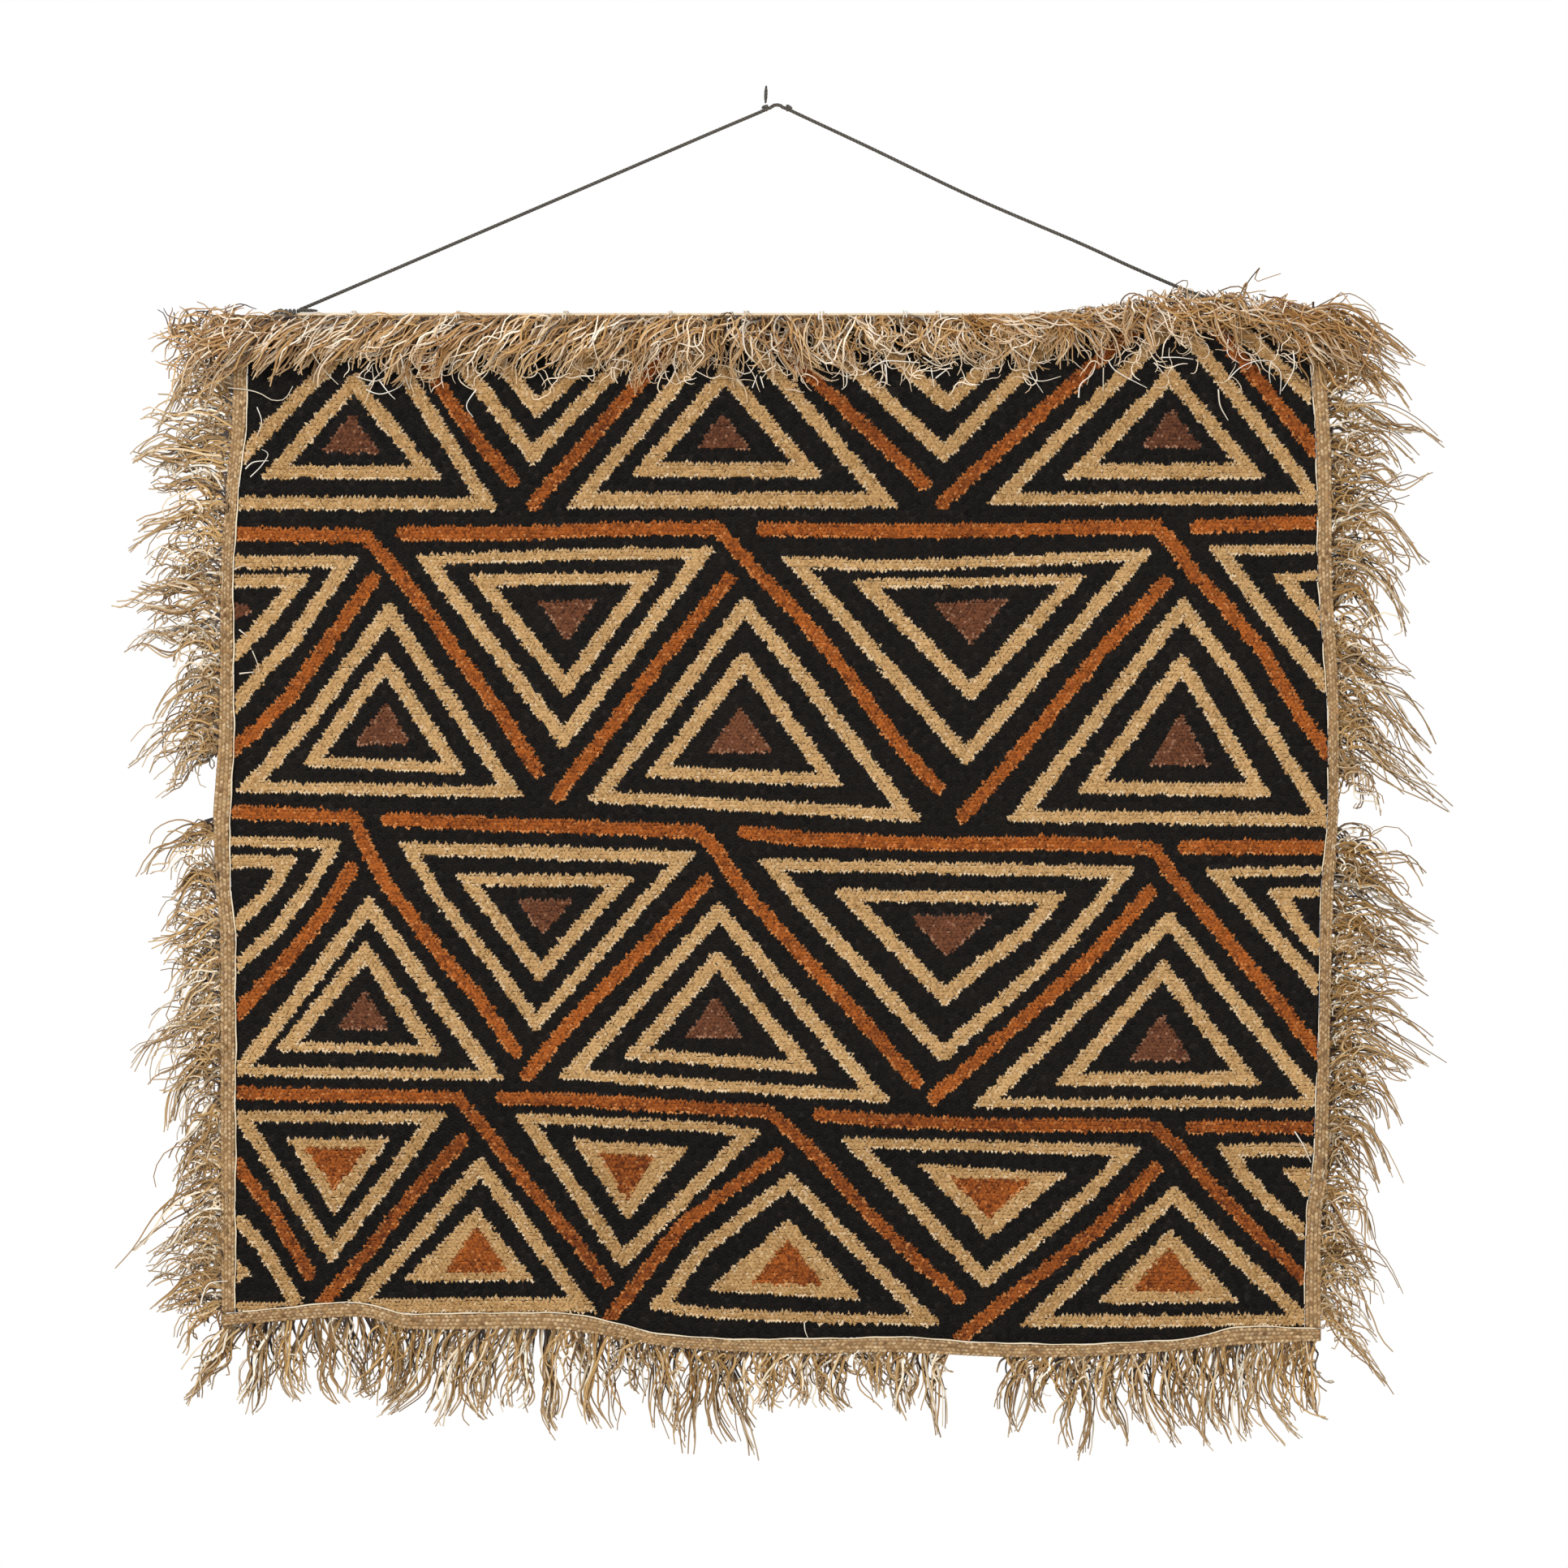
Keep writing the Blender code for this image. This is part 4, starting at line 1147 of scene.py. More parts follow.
@dataclass
class StrandSet:
    """A set of lines with the same number of points, and what each point knows."""

    points: Points
    half: Floats
    tone: Floats
    shade: Floats

    @staticmethod
    def mesh_of(name: str, sets: Sequence["StrandSet"]) -> Mesh:
        """Join sets of lines into one mesh that the strand tree can use.

        Args:
            name: the mesh's name.
            sets: the sets of lines.

        Returns:
            The mesh, with what each point knows as named values.
        """
        base, places, edges = 0, [], []
        known: dict[str, list[Floats]] = {"half": [], "along": [], "tone": [], "shade": []}
        for group in sets:
            count, steps, _ = group.points.shape
            order = np.arange(count * steps).reshape(count, steps) + base
            edges.append(np.stack((order[:, :-1].ravel(), order[:, 1:].ravel()), axis=1))
            places.append(group.points.reshape(-1, 3))
            known["half"].append(group.half.ravel() * MM)
            known["along"].append(np.tile(np.linspace(0.0, 1.0, steps), count))
            known["tone"].append(np.repeat(group.tone, steps))
            known["shade"].append(np.repeat(group.shade, steps))
            base += count * steps
        mesh = bare_points(name, np.concatenate(places))
        joins = np.concatenate(edges)
        mesh.edges.add(len(joins))
        mesh.edges.foreach_set("vertices", joins.astype(np.int32).ravel())
        mesh.update()
        add_values(mesh, **{key: np.concatenate(rows) for key, rows in known.items()})
        return mesh


@dataclass
class StrandSpinner:
    """Turns sets of lines into a piece of strands."""

    sides: int = 3
    smooth: bool = False
    thickness: float = 1.0

    def piece(
        self, name: str, sets: Sequence[StrandSet], finish: Material,
        slot: str = "raffia_fringe", replaced: Iterable[str] = (),
    ) -> Thing:
        """Make the piece.

        Args:
            name: its name.
            sets: its lines.
            finish: its material.
            slot: not used.
            replaced: the nodes it stands for.

        Returns:
            The finished piece.
        """
        lines = new_object(name + "_lines", StrandSet.mesh_of(name + "_lines", sets))
        thing = bake_tree(name, lines, strand_tree(), {
            "Sides": self.sides, "Thickness": self.thickness, "Smooth": self.smooth, "Finish": finish,
        })
        return finish_piece(thing, replaced)


def smooth_path(route: Sequence[Sequence[float]], step: float) -> Points:
    """Give points about a step apart on a smooth curve through a route.

    Args:
        route: the points that the curve runs through.
        step: about how far apart the new ones are.

    Returns:
        The curve's points, with the route's own among them.
    """
    spots = np.asarray(route, dtype=float)
    rows = []
    for index in range(len(spots) - 1):
        a, b = spots[max(index - 1, 0)], spots[index]
        c, d = spots[index + 1], spots[min(index + 2, len(spots) - 1)]
        count = max(1, round(float(np.linalg.norm(c - b)) / step))
        for part in range(count):
            t = part / count
            bend = (2.0 * a - 5.0 * b + 4.0 * c - d) * t + (3.0 * b - a - 3.0 * c + d) * t * t
            rows.append(b + 0.5 * t * ((c - a) + bend))
    rows.append(spots[-1])
    return np.array(rows)


def even_path(route: Points, count: int) -> Points:
    """Respace a path to a number of evenly spaced points."""
    steps = np.linalg.norm(np.diff(route, axis=0), axis=1)
    run = np.concatenate(([0.0], np.cumsum(steps)))
    wanted = np.linspace(0.0, run[-1], count)
    return np.stack([np.interp(wanted, run, route[:, axis]) for axis in range(route.shape[1])], axis=1)


# Finishes


Dyed = tuple[float, float, float, float]


def dye(red: int, green: int, blue: int) -> Dyed:
    """Turn a colour as seen, 0 to 255, into the linear values that a shader takes."""
    seen = [channel / 255.0 for channel in (red, green, blue)]
    linear = [c / 12.92 if c <= 0.04045 else ((c + 0.055) / 1.055) ** 2.4 for c in seen]
    return (*linear, 1.0)


@dataclass
class ShadeTree(NodeBench):
    """A shader node tree under construction, in a group or in a material."""

    tree: bpy.types.NodeTree

    def value_of(self, name: str) -> Socket:
        """Read a value that the piece stores on its points."""
        node = self.add("ShaderNodeAttribute", {}, attribute_type="GEOMETRY", attribute_name=name)
        return node.outputs["Fac"]

    def math(
        self, operation: str, first: object, second: object = 0.0, clamp: bool = False
    ) -> Socket:
        """Add a Math node whose two sides are sockets or numbers."""
        sides = {"Value": first, "Value_001": second}
        return self.add("ShaderNodeMath", sides, operation=operation, use_clamp=clamp).outputs[0]

    def blend(self, share: object, first: object, second: object) -> Socket:
        """Mix two colours, each a socket or plain values."""
        feeds = {"Factor_Float": share, "A_Color": first, "B_Color": second}
        node = self.add("ShaderNodeMix", feeds, data_type="RGBA", clamp_factor=True)
        return next(socket for socket in node.outputs if socket.identifier == "Result_Color")

    def noise(
        self, scale: float, stretch: Spot = (1.0, 1.0, 1.0), detail: float = 3.0
    ) -> Socket:
        """Read a noise on the piece's own coordinates, stretched along its axes."""
        place = self.tree.nodes.new("ShaderNodeTexCoord").outputs["Object"]
        turned = self.add("ShaderNodeMapping", {"Vector": place, "Scale": stretch})
        feeds = {"Vector": turned.outputs[0], "Scale": scale, "Detail": detail}
        return self.add("ShaderNodeTexNoise", feeds).outputs[0]


@cache
def fibre_group() -> bpy.types.NodeTree:
    """The dyed fibre's colour: from deep to full by its tone, and pale by its tip share, which carries pale
    cut ends, pale strands and painted highlights.
    """
    colours = ((name, "Color", None) for name in ("Deep", "Body", "Pale"))
    shares = (("Tone", "Float", 0.5), ("Tip", "Float", 0.0), ("Mottle", "Float", 0.3))
    made = new_group("fibre_colour", "ShaderNodeTree", (*colours, *shares), (("Color", "Color"),))
    build = ShadeTree(made)
    given = made.nodes.new("NodeGroupInput").outputs
    patchy, fine = (
        build.math("MULTIPLY", build.math("SUBTRACT", build.noise(grain), 0.5), given["Mottle"])
        for grain in (22.0, 420.0)
    )
    tone = build.math("ADD", build.math("ADD", given["Tone"], patchy), fine, clamp=True)
    body = build.blend(tone, given["Deep"], given["Body"])
    colour = build.blend(given["Tip"], body, given["Pale"])
    made.links.new(colour, made.nodes.new("NodeGroupOutput").inputs[0])
    return made


@cache
def weave_group() -> bpy.types.NodeTree:
    """The plain weave of the raffia ground: which thread lies on top, and how high."""
    ends = (("Mask", "Float"), ("Height", "Float"))
    made = new_group("plain_weave", "ShaderNodeTree", (("Threads", "Float", 900.0),), ends)
    build = ShadeTree(made)
    given = made.nodes.new("NodeGroupInput").outputs
    place = made.nodes.new("ShaderNodeTexCoord").outputs["Object"]
    parts = build.add("ShaderNodeSeparateXYZ", {"Vector": place}).outputs
    warp, weft = (
        build.math("SINE", build.math("MULTIPLY", parts[axis], given["Threads"])) for axis in (0, 2)
    )
    over = build.math("MULTIPLY", warp, weft)
    height = build.math("ADD", build.math("MULTIPLY", over, 0.5), 0.5)
    out = made.nodes.new("NodeGroupOutput").inputs
    made.links.new(build.math("GREATER_THAN", over, 0.0), out["Mask"])
    made.links.new(height, out["Height"])
    return made


def start_material(name: str) -> tuple[Material, ShadeTree, bpy.types.Node]:
    """Start a material and give its tree and its Principled BSDF."""
    material = bpy.data.materials.new(name)
    material.use_nodes = True
    return material, ShadeTree(material.node_tree), material.node_tree.nodes["Principled BSDF"]


def set_surface(
    build: ShadeTree, shader: bpy.types.Node, colour: object, roughness: float, gloss: float,
    relief: tuple[object, float, float] | None = None, sheen: float = 0.0,
) -> None:
    """Lay a colour, the surface's constants and its relief on the shader.

    Args:
        build: the material's tree.
        shader: its Principled BSDF.
        colour: a socket or plain values.
        roughness: the roughness.
        gloss: how much it reflects.
        relief: a height, how strongly it shows and how high it is, in metres.
        sheen: how much of a fuzzy sheen it has.
    """
    build.feed(shader.inputs["Base Color"], colour)
    shader.inputs["Roughness"].default_value = roughness
    shader.inputs["Specular IOR Level"].default_value = gloss
    shader.inputs["Sheen Weight"].default_value = sheen
    if relief is not None:
        bump = build.add("ShaderNodeBump", dict(zip(("Height", "Strength", "Distance"), relief)))
        build.feed(shader.inputs["Normal"], bump.outputs["Normal"])


@dataclass(frozen=True)
class FibreFinish:
    """Fibre in a deep, a usual and a pale colour."""

    name: str
    deep: Dyed
    body: Dyed
    pale: Dyed

    def colour(self, build: ShadeTree, tone: object, tip: object, mottle: float) -> Socket:
        """Place the fibre group with this finish's values and give its colour.

        Args:
            build: the material's tree.
            tone: where the colour is between deep and full.
            tip: how pale it is.
            mottle: how patchy it is.

        Returns:
            The colour.
        """
        node = build.tree.nodes.new("ShaderNodeGroup")
        node.node_tree = fibre_group()
        values = {"Deep": self.deep, "Body": self.body, "Pale": self.pale, "Mottle": mottle}
        for name, source in {**values, "Tone": tone, "Tip": tip}.items():
            build.feed(node.inputs[name], source)
        return node.outputs[0]

    @staticmethod
    def pale_and_lit_tip(build: ShadeTree) -> Socket:
        """Say how pale each place is: its share of the way to the tip, where the tip glows, with the fibre's
        own paleness and a painted highlight.
        """
        return build.math("MULTIPLY", build.value_of("tip"), build.value_of("glow"), clamp=True)


@dataclass(frozen=True)
class PileFinish(FibreFinish):
    """Cut raffia pile of one dye."""

    mottle: float = 0.5
    roughness: float = 0.85
    gloss: float = 0.25

    def material(self) -> Material:
        """Make the material: tone by tuft, pale at the cut ends along the figures' edges with a painted
        highlight.
        """
        material, build, shader = start_material(self.name)
        colour = self.colour(build, build.value_of("tone"), self.pale_and_lit_tip(build), self.mottle)
        set_surface(build, shader, colour, self.roughness, self.gloss)
        return material


@dataclass(frozen=True)
class StrandFinish(FibreFinish):
    """Loose raffia strands: golden, with pale ones among them, in painted shade at the root."""

    shadow: Dyed
    tip: Dyed
    roughness: float = 0.55
    gloss: float = 0.45

    def material(self) -> Material:
        """Make the material: tone and shade by strand, and a grey dry tip."""
        material, build, shader = start_material(self.name)
        tone = build.value_of("tone")
        pale = build.math("MULTIPLY", build.math("SUBTRACT", tone, 0.72, clamp=True), 3.4, clamp=True)
        colour = self.colour(build, tone, pale, 0.35)
        along = build.value_of("along")
        dry = build.math("MULTIPLY", build.math("SUBTRACT", along, 0.55, clamp=True), 1.3, clamp=True)
        colour = build.blend(dry, colour, self.tip)
        # Painted shade: strands that lie deeper in the fringe take the shadow colour, most towards their
        # roots.
        root = build.math("SUBTRACT", 1.0, build.math("MULTIPLY", along, 1.15), clamp=True)
        deepness = build.math("ADD", root, 0.35)
        dim = build.math("MULTIPLY", build.value_of("shade"), deepness, clamp=True)
        colour = build.blend(dim, colour, self.shadow)
        set_surface(build, shader, colour, self.roughness, self.gloss)
        return material


@dataclass(frozen=True)
class PlaitFinish(FibreFinish):
    """The plaited strip: raffia strokes with dark joints between them."""

    name: str = "plaited_strip"
    deep: Dyed = dye(96, 66, 35)
    body: Dyed = dye(175, 138, 92)
    pale: Dyed = dye(230, 206, 166)

    def material(self) -> Material:
        """Make the material: tone by stroke, with a painted highlight on the crown of each."""
        material, build, shader = start_material(self.name)
        colour = self.colour(build, build.value_of("tone"), self.pale_and_lit_tip(build), 0.45)
        grain = build.noise(900.0, detail=2.0)
        set_surface(build, shader, colour, 0.7, 0.35, (grain, 0.25, 0.0004))
        return material


@dataclass(frozen=True)
class WeaveFinish(FibreFinish):
    """Plain woven raffia, as on the back of the cloth and between the tufts."""

    threads: float = 2600.0

    def material(self) -> Material:
        """Make the material: warp and weft in two tones, raised by bump."""
        material, build, shader = start_material(self.name)
        weave = build.tree.nodes.new("ShaderNodeGroup")
        weave.node_tree = weave_group()
        weave.inputs["Threads"].default_value = self.threads
        streak = build.math("MULTIPLY", build.noise(260.0, (1.0, 1.0, 0.08), 2.0), 0.7)
        tone = build.math("ADD", build.math("MULTIPLY", weave.outputs["Mask"], 0.35), streak)
        colour = self.colour(build, tone, 0.0, 0.4)
        set_surface(build, shader, colour, 0.8, 0.3, (weave.outputs["Height"], 0.7, 0.0005))
        return material


@dataclass(frozen=True)
class CordFinish(FibreFinish):
    """The dark matt cord, with painted shade darkening the grooves between its strands."""

    name: str = "dark_twisted_cord"
    deep: Dyed = dye(40, 37, 34)
    body: Dyed = dye(112, 106, 97)
    pale: Dyed = dye(140, 133, 122)

    def material(self) -> Material:
        """Make the material."""
        material, build, shader = start_material(self.name)
        hair = build.noise(1500.0, detail=2.0)
        # Painted shade: the rope's tip value darkens the grooves between the strands and leaves their crowns
        # lighter.
        tone = build.math("MULTIPLY", build.value_of("tip"), build.math("ADD", hair, 0.35), clamp=True)
        colour = self.colour(build, tone, 0.0, 0.3)
        set_surface(build, shader, colour, 0.9, 0.2, (hair, 0.3, 0.0003), 0.15)
        return material


@dataclass(frozen=True)
class WoodFinish:
    """The pale bare wood of the rod, with its grain along it."""

    name: str = "pale_rod_wood"
    dark: Dyed = dye(208, 182, 148)
    light: Dyed = dye(240, 222, 194)

    def material(self) -> Material:
        """Make the material."""
        material, build, shader = start_material(self.name)
        grain = build.noise(150.0, (0.05, 1.0, 1.0), 4.0)
        colour = build.blend(build.math("MULTIPLY", grain, 1.3, clamp=True), self.dark, self.light)
        set_surface(build, shader, colour, 0.55, 0.4, (grain, 0.2, 0.0003))
        return material


PILE_FINISHES = {
    Dye.BLACK: PileFinish("black_pile", dye(9, 7, 6), dye(25, 21, 18), dye(44, 38, 34), 0.4, 0.85, 0.15),
    Dye.TAN: PileFinish("tan_pile", dye(158, 120, 72), dye(209, 172, 120), dye(244, 224, 190), 0.65),
    Dye.TERRACOTTA: PileFinish(
        "terracotta_pile", dye(94, 42, 14), dye(180, 99, 36), dye(230, 160, 96), 0.8
    ),
    Dye.BROWN: PileFinish("brown_pile", dye(70, 38, 25), dye(122, 75, 48), dye(188, 142, 112), 0.65),
}
FRINGE_FINISH = StrandFinish(
    "raffia_strands", dye(142, 102, 54), dye(220, 180, 116), dye(255, 248, 230),
    dye(44, 30, 24), dye(180, 156, 122),
)
THREAD_FINISH = StrandFinish(
    "pale_raffia_thread", dye(190, 174, 150), dye(226, 214, 194), dye(252, 248, 240),
    dye(120, 104, 84), dye(214, 204, 188),
)
HEAD_FINISH = StrandFinish(
    "head_raffia_strands", dye(156, 108, 58), dye(222, 178, 112), dye(255, 244, 226),
    dye(44, 28, 24), dye(206, 176, 134),
)
EDGE_FINISH = StrandFinish(
    "pale_edge_thread", dye(196, 168, 126), dye(226, 204, 166), dye(240, 226, 200),
    dye(120, 104, 84), dye(226, 206, 172),
)


# The cloth


@dataclass
class Ground:
    """The woven sheet that carries the pile, hung on the panel's own folds."""

    columns: int = 66
    rows: int = 62
    behind: float = 1.5
    thick: float = 1.2
    flat: tuple[float, float] = (0.67, 0.62)

    def build(self) -> Thing:
        """Make the sheet, dark in front for the painted shade between the tufts and plain woven behind."""
        across, down = np.meshgrid(np.linspace(0, 1, self.columns + 1), np.linspace(0, 1, self.rows + 1))
        x, z = FACE.patch(across, down)
        y = FACE.front(x, z) + self.behind
        front = np.stack((x, y, z), axis=2).reshape(-1, 3)
        back = front + np.array((0.0, self.thick, 0.0))
        faces, fronts = slab_faces(self.rows + 1, self.columns + 1)
        mesh = plain_mesh("cloth_ground", np.concatenate((front, back)), faces)
        thing = new_object("cloth_ground", mesh)
        # Painted shade: the front of the woven ground is coloured dark for the shade between the tufts. The
        # back keeps the weave's own colour.
        dark = WeaveFinish("ground_front_painted_shade", dye(8, 7, 6), dye(26, 22, 19), dye(40, 34, 30))
        plain = WeaveFinish("plain_raffia_weave", dye(112, 84, 52), dye(186, 152, 104), dye(214, 190, 150))
        for finish in (dark, plain):
            mesh.materials.append(finish.material())
        kinds = np.ones(len(mesh.polygons), dtype=np.int32)
        kinds[:fronts] = 0
        mesh.polygons.foreach_set("material_index", kinds)
        mesh.shade_smooth()
        return finish_piece(thing, ("cloth_panel",))


@dataclass
class PileBed:
    """How the nubs of one kind of pile are set: their grid, their depth and their height."""

    scale: float
    base: float
    tall: float


@dataclass
class Pile:
    """The cut pile: nubs that tile the whole chart, with pale cut ends along its edges, brighter on the
    lower edges as a painted highlight.
    """

    column_step: float = 1.28
    row_step: float = 2.22
    nub_radius: float = 1.70
    nub_height: float = 0.85
    coarser: float = 1.72
    stray: float = 0.15
    edge_margin: float = 0.6
    lump: float = 2.5
    lump_stray: float = 0.5
    lump_table: tuple[int, int, int] = (3, 400, 400)
    rim_reach: float = 1.6
    rim_share: float = 0.12
    cut_above: float = 0.3
    lean: float = 0.2
    rim_base: float = 1.4
    rim_tall: float = 1.85
    reach_x: float = 345.0
    foot_z: float = -768.0
    lump_corner: Span = (-400.0, -800.0)
    parting_z: float = -445.0
    head_band: Span = (-255.0, 0.16)
    foot_band: Span = (-614.0, 0.2)
    seed: int = 31

    def unit(self) -> Thing:
        """Make the nub: a small closed three-sided point."""
        side, low = self.nub_radius * math.sqrt(0.75), -self.nub_radius / 2.0
        root = [(0.0, 0.0, self.nub_radius), (-side, 0.0, low), (side, 0.0, low)]
        points = np.array([*root, (0.0, -self.nub_height, 0.0)])
        mesh = plain_mesh("nub", points, ((0, 1, 2), (0, 1, 3), (1, 2, 3), (2, 0, 3)))
        # The apex is paler than the base where the nub glows: its pale cut end with a painted highlight.
        add_values(mesh, tip=np.array((0.5, 0.5, 0.5, 1.0)))
        return new_object("nub", mesh)

    def lattice(self, scale: float, rng: Rng) -> tuple[Floats, Floats, Floats]:
        """Give the nubs' places, each a little astray, and which way up each one is.

        Args:
            scale: how much coarser than the finest grid.
            rng: the source of small differences.

        Returns:
            The x, the z and the roll of each nub.
        """
        columns = np.arange(-self.reach_x, self.reach_x, self.column_step * scale)
        rows = np.arange(self.foot_z, FACE.top_z, self.row_step * scale)
        x, z = np.meshgrid(columns, rows)
        down = (np.arange(len(columns))[None, :] + np.arange(len(rows))[:, None]) % 2
        z = z + (down - 0.5) * self.row_step * scale / 3.0
        x = x.ravel() + rng.normal(0.0, self.stray, x.size)
        z = z.ravel() + rng.normal(0.0, self.stray, z.size)
        keep = FACE.inside(x, z, self.edge_margin)
        return x[keep], z[keep], down.ravel()[keep] * math.pi

    def lumps(self, x: Floats, z: Floats) -> tuple[Floats, Floats, Floats]:
        """Give the lumps of pile that hold places: how far each is astray, and how pale it is cut.

        Args:
            x: the places' x.
            z: the places' z.

        Returns:
            The x and the z astray, and the paleness.
        """
        rng = np.random.default_rng(self.seed + 1)
        low_x, low_z = self.lump_corner
        row = np.floor((z - low_z) / (0.87 * self.lump)).astype(int)
        column = np.floor((x - low_x) / self.lump + 0.5 * (row % 2)).astype(int)
        table = np.clip(rng.normal(0.0, self.lump_stray, self.lump_table), -1.0, 1.0)
        return table[0][row, column], table[1][row, column], 0.5 + table[2][row, column]

    def build(self) -> list[Thing]:
        """Make one piece of pile for each dye, the tan in an upper and a lower piece."""
        rng = np.random.default_rng(self.seed)
        chart = Chart()
        unit = self.unit()
        spots = self.lattice(1.0, rng)
        stray_x, stray_z, _ = self.lumps(spots[0], spots[1])
        read = chart.read(spots[0] + stray_x, spots[1] + stray_z)
        high, anywhere = spots[1] > self.parting_z, True
        parts = (
            ("pile_tan_upper", Dye.TAN, high),
            ("pile_tan_lower", Dye.TAN, ~high),
            ("pile_terracotta", Dye.TERRACOTTA, anywhere),
            ("pile_brown", Dye.BROWN, anywhere),
        )
        finishes = {kind: finish.material() for kind, finish in PILE_FINISHES.items()}
        raised, flat = PileBed(1.0, 0.7, 1.0), PileBed(self.coarser, 1.35, 0.75)
        pieces = [
            self.piece(name, (read.dye == kind) & where, spots, read, unit, finishes[kind], raised, rng)
            for name, kind, where in parts
        ]
        spots = self.lattice(self.coarser, rng)
        read = chart.read(spots[0], spots[1])
        black = read.dye == Dye.BLACK
        pieces.append(self.piece("pile_black", black, spots, read, unit, finishes[Dye.BLACK], flat, rng))
        bpy.data.objects.remove(unit, do_unlink=True)
        return pieces

    def piece(
        self, name: str, keep: Marks, spots: tuple[Floats, Floats, Floats], read: Stitched,
        unit: Thing, finish: Material, bed: PileBed, rng: Rng,
    ) -> Thing:
        """Set the nubs of one piece.

        Args:
            name: the piece's name.
            keep: which of the nubs are this piece's.
            spots: the x, the z and the roll of all nubs.
            read: what the chart says of all nubs.
            unit: the nub.
            finish: the material.
            bed: how its nubs are set.
            rng: the source of small differences.

        Returns:
            The piece.
        """
        x, z, roll = (values[keep] for values in spots)
        out_x, out_z, count = read.out_x[keep], read.out_z[keep], int(keep.sum())
        raised = bed.scale == 1.0
        rimward = np.clip(1.0 - read.rim[keep] / self.rim_reach, 0.0, 1.0) * raised
        at_rim = rimward > self.rim_share
        paleness = self.lumps(x, z)[2]
        cut = at_rim & (paleness > self.cut_above)
        roll = np.where(at_rim, np.arctan2(out_x, out_z), roll) + rng.normal(0.0, 0.2, count)
        nod = self.lean * np.cos(roll) + rng.normal(0.0, 0.1, count)
        turn = np.stack((nod, roll, rng.normal(0.0, 0.1, count)), axis=1)
        length = np.where(cut, rng.uniform(0.95, 1.15, count), rng.uniform(0.92, 1.08, count))
        tall = np.where(at_rim, self.rim_tall, bed.tall) * rng.uniform(0.85, 1.12, count)
        size = np.stack((rng.uniform(0.92, 1.08, count), tall / bed.scale, length), axis=1)
        # Painted highlight: the pale cut ends are brighter on a figure's lower edges, where light catches
        # the tufts. The cut ends' own paleness is real.
        glow = cut * (0.62 - 0.38 * out_z) * (0.4 + 0.7 * paleness) * rng.uniform(0.8, 1.2, count)
        glow = glow + (rng.random(count) < 0.05) * 0.5
        tone = rng.beta(3.2, 1.6, count)
        for (limit, dim), beyond in ((self.head_band, np.greater), (self.foot_band, np.less)):
            tone = tone - dim * beyond(z, limit)
        y = FACE.front(x, z) + np.where(at_rim, self.rim_base, bed.base)
        mesh = bare_points(name + "_roots", np.stack((x, y, z), axis=1))
        glow, tone = np.clip(glow, 0.0, 1.0), np.clip(tone, 0.0, 1.0)
        add_values(mesh, turn=turn, size=size, glow=glow, tone=tone)
        return finish_piece(UnitScatter(unit, bed.scale, self.seed).make(name, mesh, finish))


class Edge(Enum):
    """The four edges of the cloth."""

    LEFT = "left"
    RIGHT = "right"
    BOTTOM = "bottom"
    TOP = "top"


